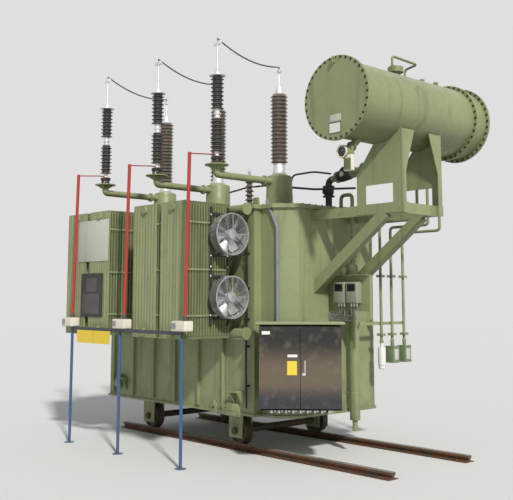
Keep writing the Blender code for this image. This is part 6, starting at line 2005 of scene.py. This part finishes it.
@dataclass
class CounterRack:
    """Blue rack with three discharge counters, their leads and the blank sign."""

    counter_z: tuple[float, float] = (1.6153, 1.7453)
    front: float = -1.749
    back: float = -1.609

    def build(self) -> None:
        """Dress the rack and make the counters."""
        dress("counter_rack", BLUE)
        for index in (1, 2, 3):
            self.counter(index)
        self.sign()

    def counter(self, index: int) -> None:
        """One counter: cream case with a rounded front, a collar and its lead.

        Args:
            index: its number.
        """
        span = Span(f"counter_{index}")
        low, high = self.counter_z
        case = Bench()
        case.block((span.low.x, self.front, low), (span.high.x, self.back, high), 0.020, steps=4)
        case.finish(f"counter_{index}_case", CREAM, stands_for=(f"counter_{index}",))
        dark = Bench()
        dark.block((span.low.x + 0.018, self.front - 0.0003, low + 0.030),
                   (span.low.x + 0.100, self.front + 0.002,
                                                                           high - 0.026), 0.0006, steps=1)
        dark.finish(f"counter_{index}_window", WINDOW_GREY)
        lead = Bench()
        phase = span.middle().x
        x, y, top_x = phase + 0.055, -1.679, phase + 0.110
        lead.lathe([(0.0, 0.0), (0.034, 0.0), (0.034, 0.012), (0.026, 0.016), (0.026, 0.052), (0.018, 0.058),
                    (0.0, 0.060)], (x, y, high), Way.UP, 32)
        lead.finish(f"counter_{index}_collar", SILICONE)
        red = Bench()
        red.bar((x, y, high + 0.055), (top_x, y, 3.814), 0.022, sides=20)
        red.tube(bend_route([(top_x, y, 3.798), (phase, -1.2578, 3.850), (phase, -1.1781, 3.850)], 0.030, 4),
                 0.008, 3)
        red.finish(f"counter_{index}_lead", RED)

    def sign(self) -> None:
        """Blank yellow board under the rack's bar."""
        bench = Bench()
        bench.block((-1.8985, -1.7030, 1.400), (-1.0485, -1.7005, 1.575), 0.0005, steps=1)
        bench.finish("rack_sign", YELLOW)


@dataclass
class Plates:
    """Rating board with its bare plates, and the pale panel above it."""

    def build(self) -> None:
        """Dress the board and add the plates."""
        dress("rating_board", BLACK_STEEL)
        for name, x, z in (("rating_plate_upper", (-1.8885, -1.6085), (2.110, 2.300)),
                           ("rating_plate_lower", (-1.9785, -1.5385), (1.800, 2.085))):
            bench = Bench()
            bench.block((x[0], -1.5800, z[0]), (x[1], -1.5784, z[1]), 0.0004, steps=1)
            bench.finish(name, STAINLESS)
        panel = Bench()
        left, right, low, high = -2.1385, -1.3385, 2.540, 3.130
        panel.block((left, -1.5725, low), (right, -1.5690, high), 0.001)
        panel.bolts([Vector((x, -1.5725, z)) for x in (left + 0.03,
                                                       right - 0.03) for z in (low + 0.03, high - 0.03)],
                    Way.NEAR, 0.009)
        panel.finish("front_panel", PALE_PLATE)


@dataclass
class Studio:
    """Pale floor, sun, even world light with a backdrop, and the camera of the photograph."""

    sun_strength: float = 2.9
    sun_azimuth: float = -26.0      # degrees from +X
    sun_height: float = 35.7        # degrees above the ground
    world_strength: float = 0.31
    backdrop: float = 0.74
    camera_place: Point = (8.7615, -7.9915, 2.015)
    camera_turn: float = 47.36
    camera_tilt: float = 97.38
    lens: float = 58.97
    shift: tuple[float, float] = (-0.0062, -0.1177)

    def build(self) -> None:
        """Set the stage."""
        self.floor()
        self.sun()
        self.world()
        self.camera()
        bpy.context.scene.view_settings.view_transform = "Standard"

    def floor(self) -> None:
        """Wide pale floor that keeps the object's shadow."""
        shape = bmesh.new()
        bmesh.ops.create_grid(shape, x_segments=1, y_segments=1, size=60.0)
        mesh = bpy.data.meshes.new("floor")
        shape.to_mesh(mesh)
        shape.free()
        sheet = NodeSheet("floor_paper")
        sheet.set_plain(Base_Color=(0.87, 0.87, 0.86), Roughness=0.9)
        mesh.materials.append(sheet.material)
        add_object("floor", mesh)

    def sun(self) -> None:
        """Sun from the conservator's end, low and a little to the radiators' side."""
        lamp = bpy.data.lights.new("sun", "SUN")
        lamp.energy = self.sun_strength
        lamp.angle = math.radians(4.0)
        lamp.color = (1.0, 0.975, 0.94)
        holder = add_object("sun", lamp)
        height = math.radians(self.sun_height)
        away = around(math.radians(self.sun_azimuth), math.cos(height)) + Vector((0.0, 0.0, math.sin(height)))
        holder.rotation_euler = away.to_track_quat("Z", "Y").to_euler()

    def world(self) -> None:
        """Even light on the object, and a white background for camera and reflections."""
        world = bpy.data.worlds.new("studio")
        world.use_nodes = True
        bpy.context.scene.world = world
        nodes, links = world.node_tree.nodes, world.node_tree.links
        nodes.clear()
        output = nodes.new("ShaderNodeOutputWorld")
        path = nodes.new("ShaderNodeLightPath")
        seen = path.outputs["Is Camera Ray"]
        for ray in ("Is Glossy Ray", "Is Transmission Ray"):
            either = nodes.new("ShaderNodeMath")
            either.operation = "MAXIMUM"
            links.new(seen, either.inputs[0])
            links.new(path.outputs[ray], either.inputs[1])
            seen = either.outputs["Value"]
        mix = nodes.new("ShaderNodeMixShader")
        links.new(seen, mix.inputs["Fac"])
        for place, colour, strength in ((1, (0.93, 0.96, 1.0), self.world_strength),
                                        (2, (self.backdrop,) * 3, 1.0)):
            light = nodes.new("ShaderNodeBackground")
            light.inputs["Color"].default_value = (*colour, 1.0)
            light.inputs["Strength"].default_value = strength
            links.new(light.outputs["Background"], mix.inputs[place])
        links.new(mix.outputs["Shader"], output.inputs["Surface"])

    def camera(self) -> None:
        """Camera at the photograph's viewpoint."""
        data = bpy.data.cameras.new("camera")
        data.lens = self.lens
        data.sensor_width = 36.0
        data.shift_x, data.shift_y = self.shift
        data.clip_end = 200.0
        holder = add_object("camera", data)
        turn = Matrix.Rotation(math.radians(self.camera_turn), 4, "Z")
        tilt = Matrix.Rotation(math.radians(self.camera_tilt), 4, "X")
        holder.matrix_world = Matrix.Translation(self.camera_place) @ turn @ tilt
        bpy.context.scene.camera = holder


def main() -> None:
    logging.basicConfig(level=logging.INFO, format="%(name)s: %(message)s")
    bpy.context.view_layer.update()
    assemblies = [Track(), Tank(), *[Radiator(f"radiator_{index}") for index in (1, 2, 3, 4)], Collectors(),
                  FanSupport(), Fan("upper", Body.ROTOR_UPPER), Fan("lower", Body.ROTOR_LOWER), Cabinet(),
                  *[Phase(index) for index in (1, 2, 3)], Neutral(), Conservator(), OilPipe(), LevelGauge(),
                  ReliefPipe(), Breathers(), Instruments(), CounterRack(), Plates(), Conduit()]
    for assembly in assemblies:
        assembly.build()
    Studio().build()


if __name__ == "__main__":
    main()
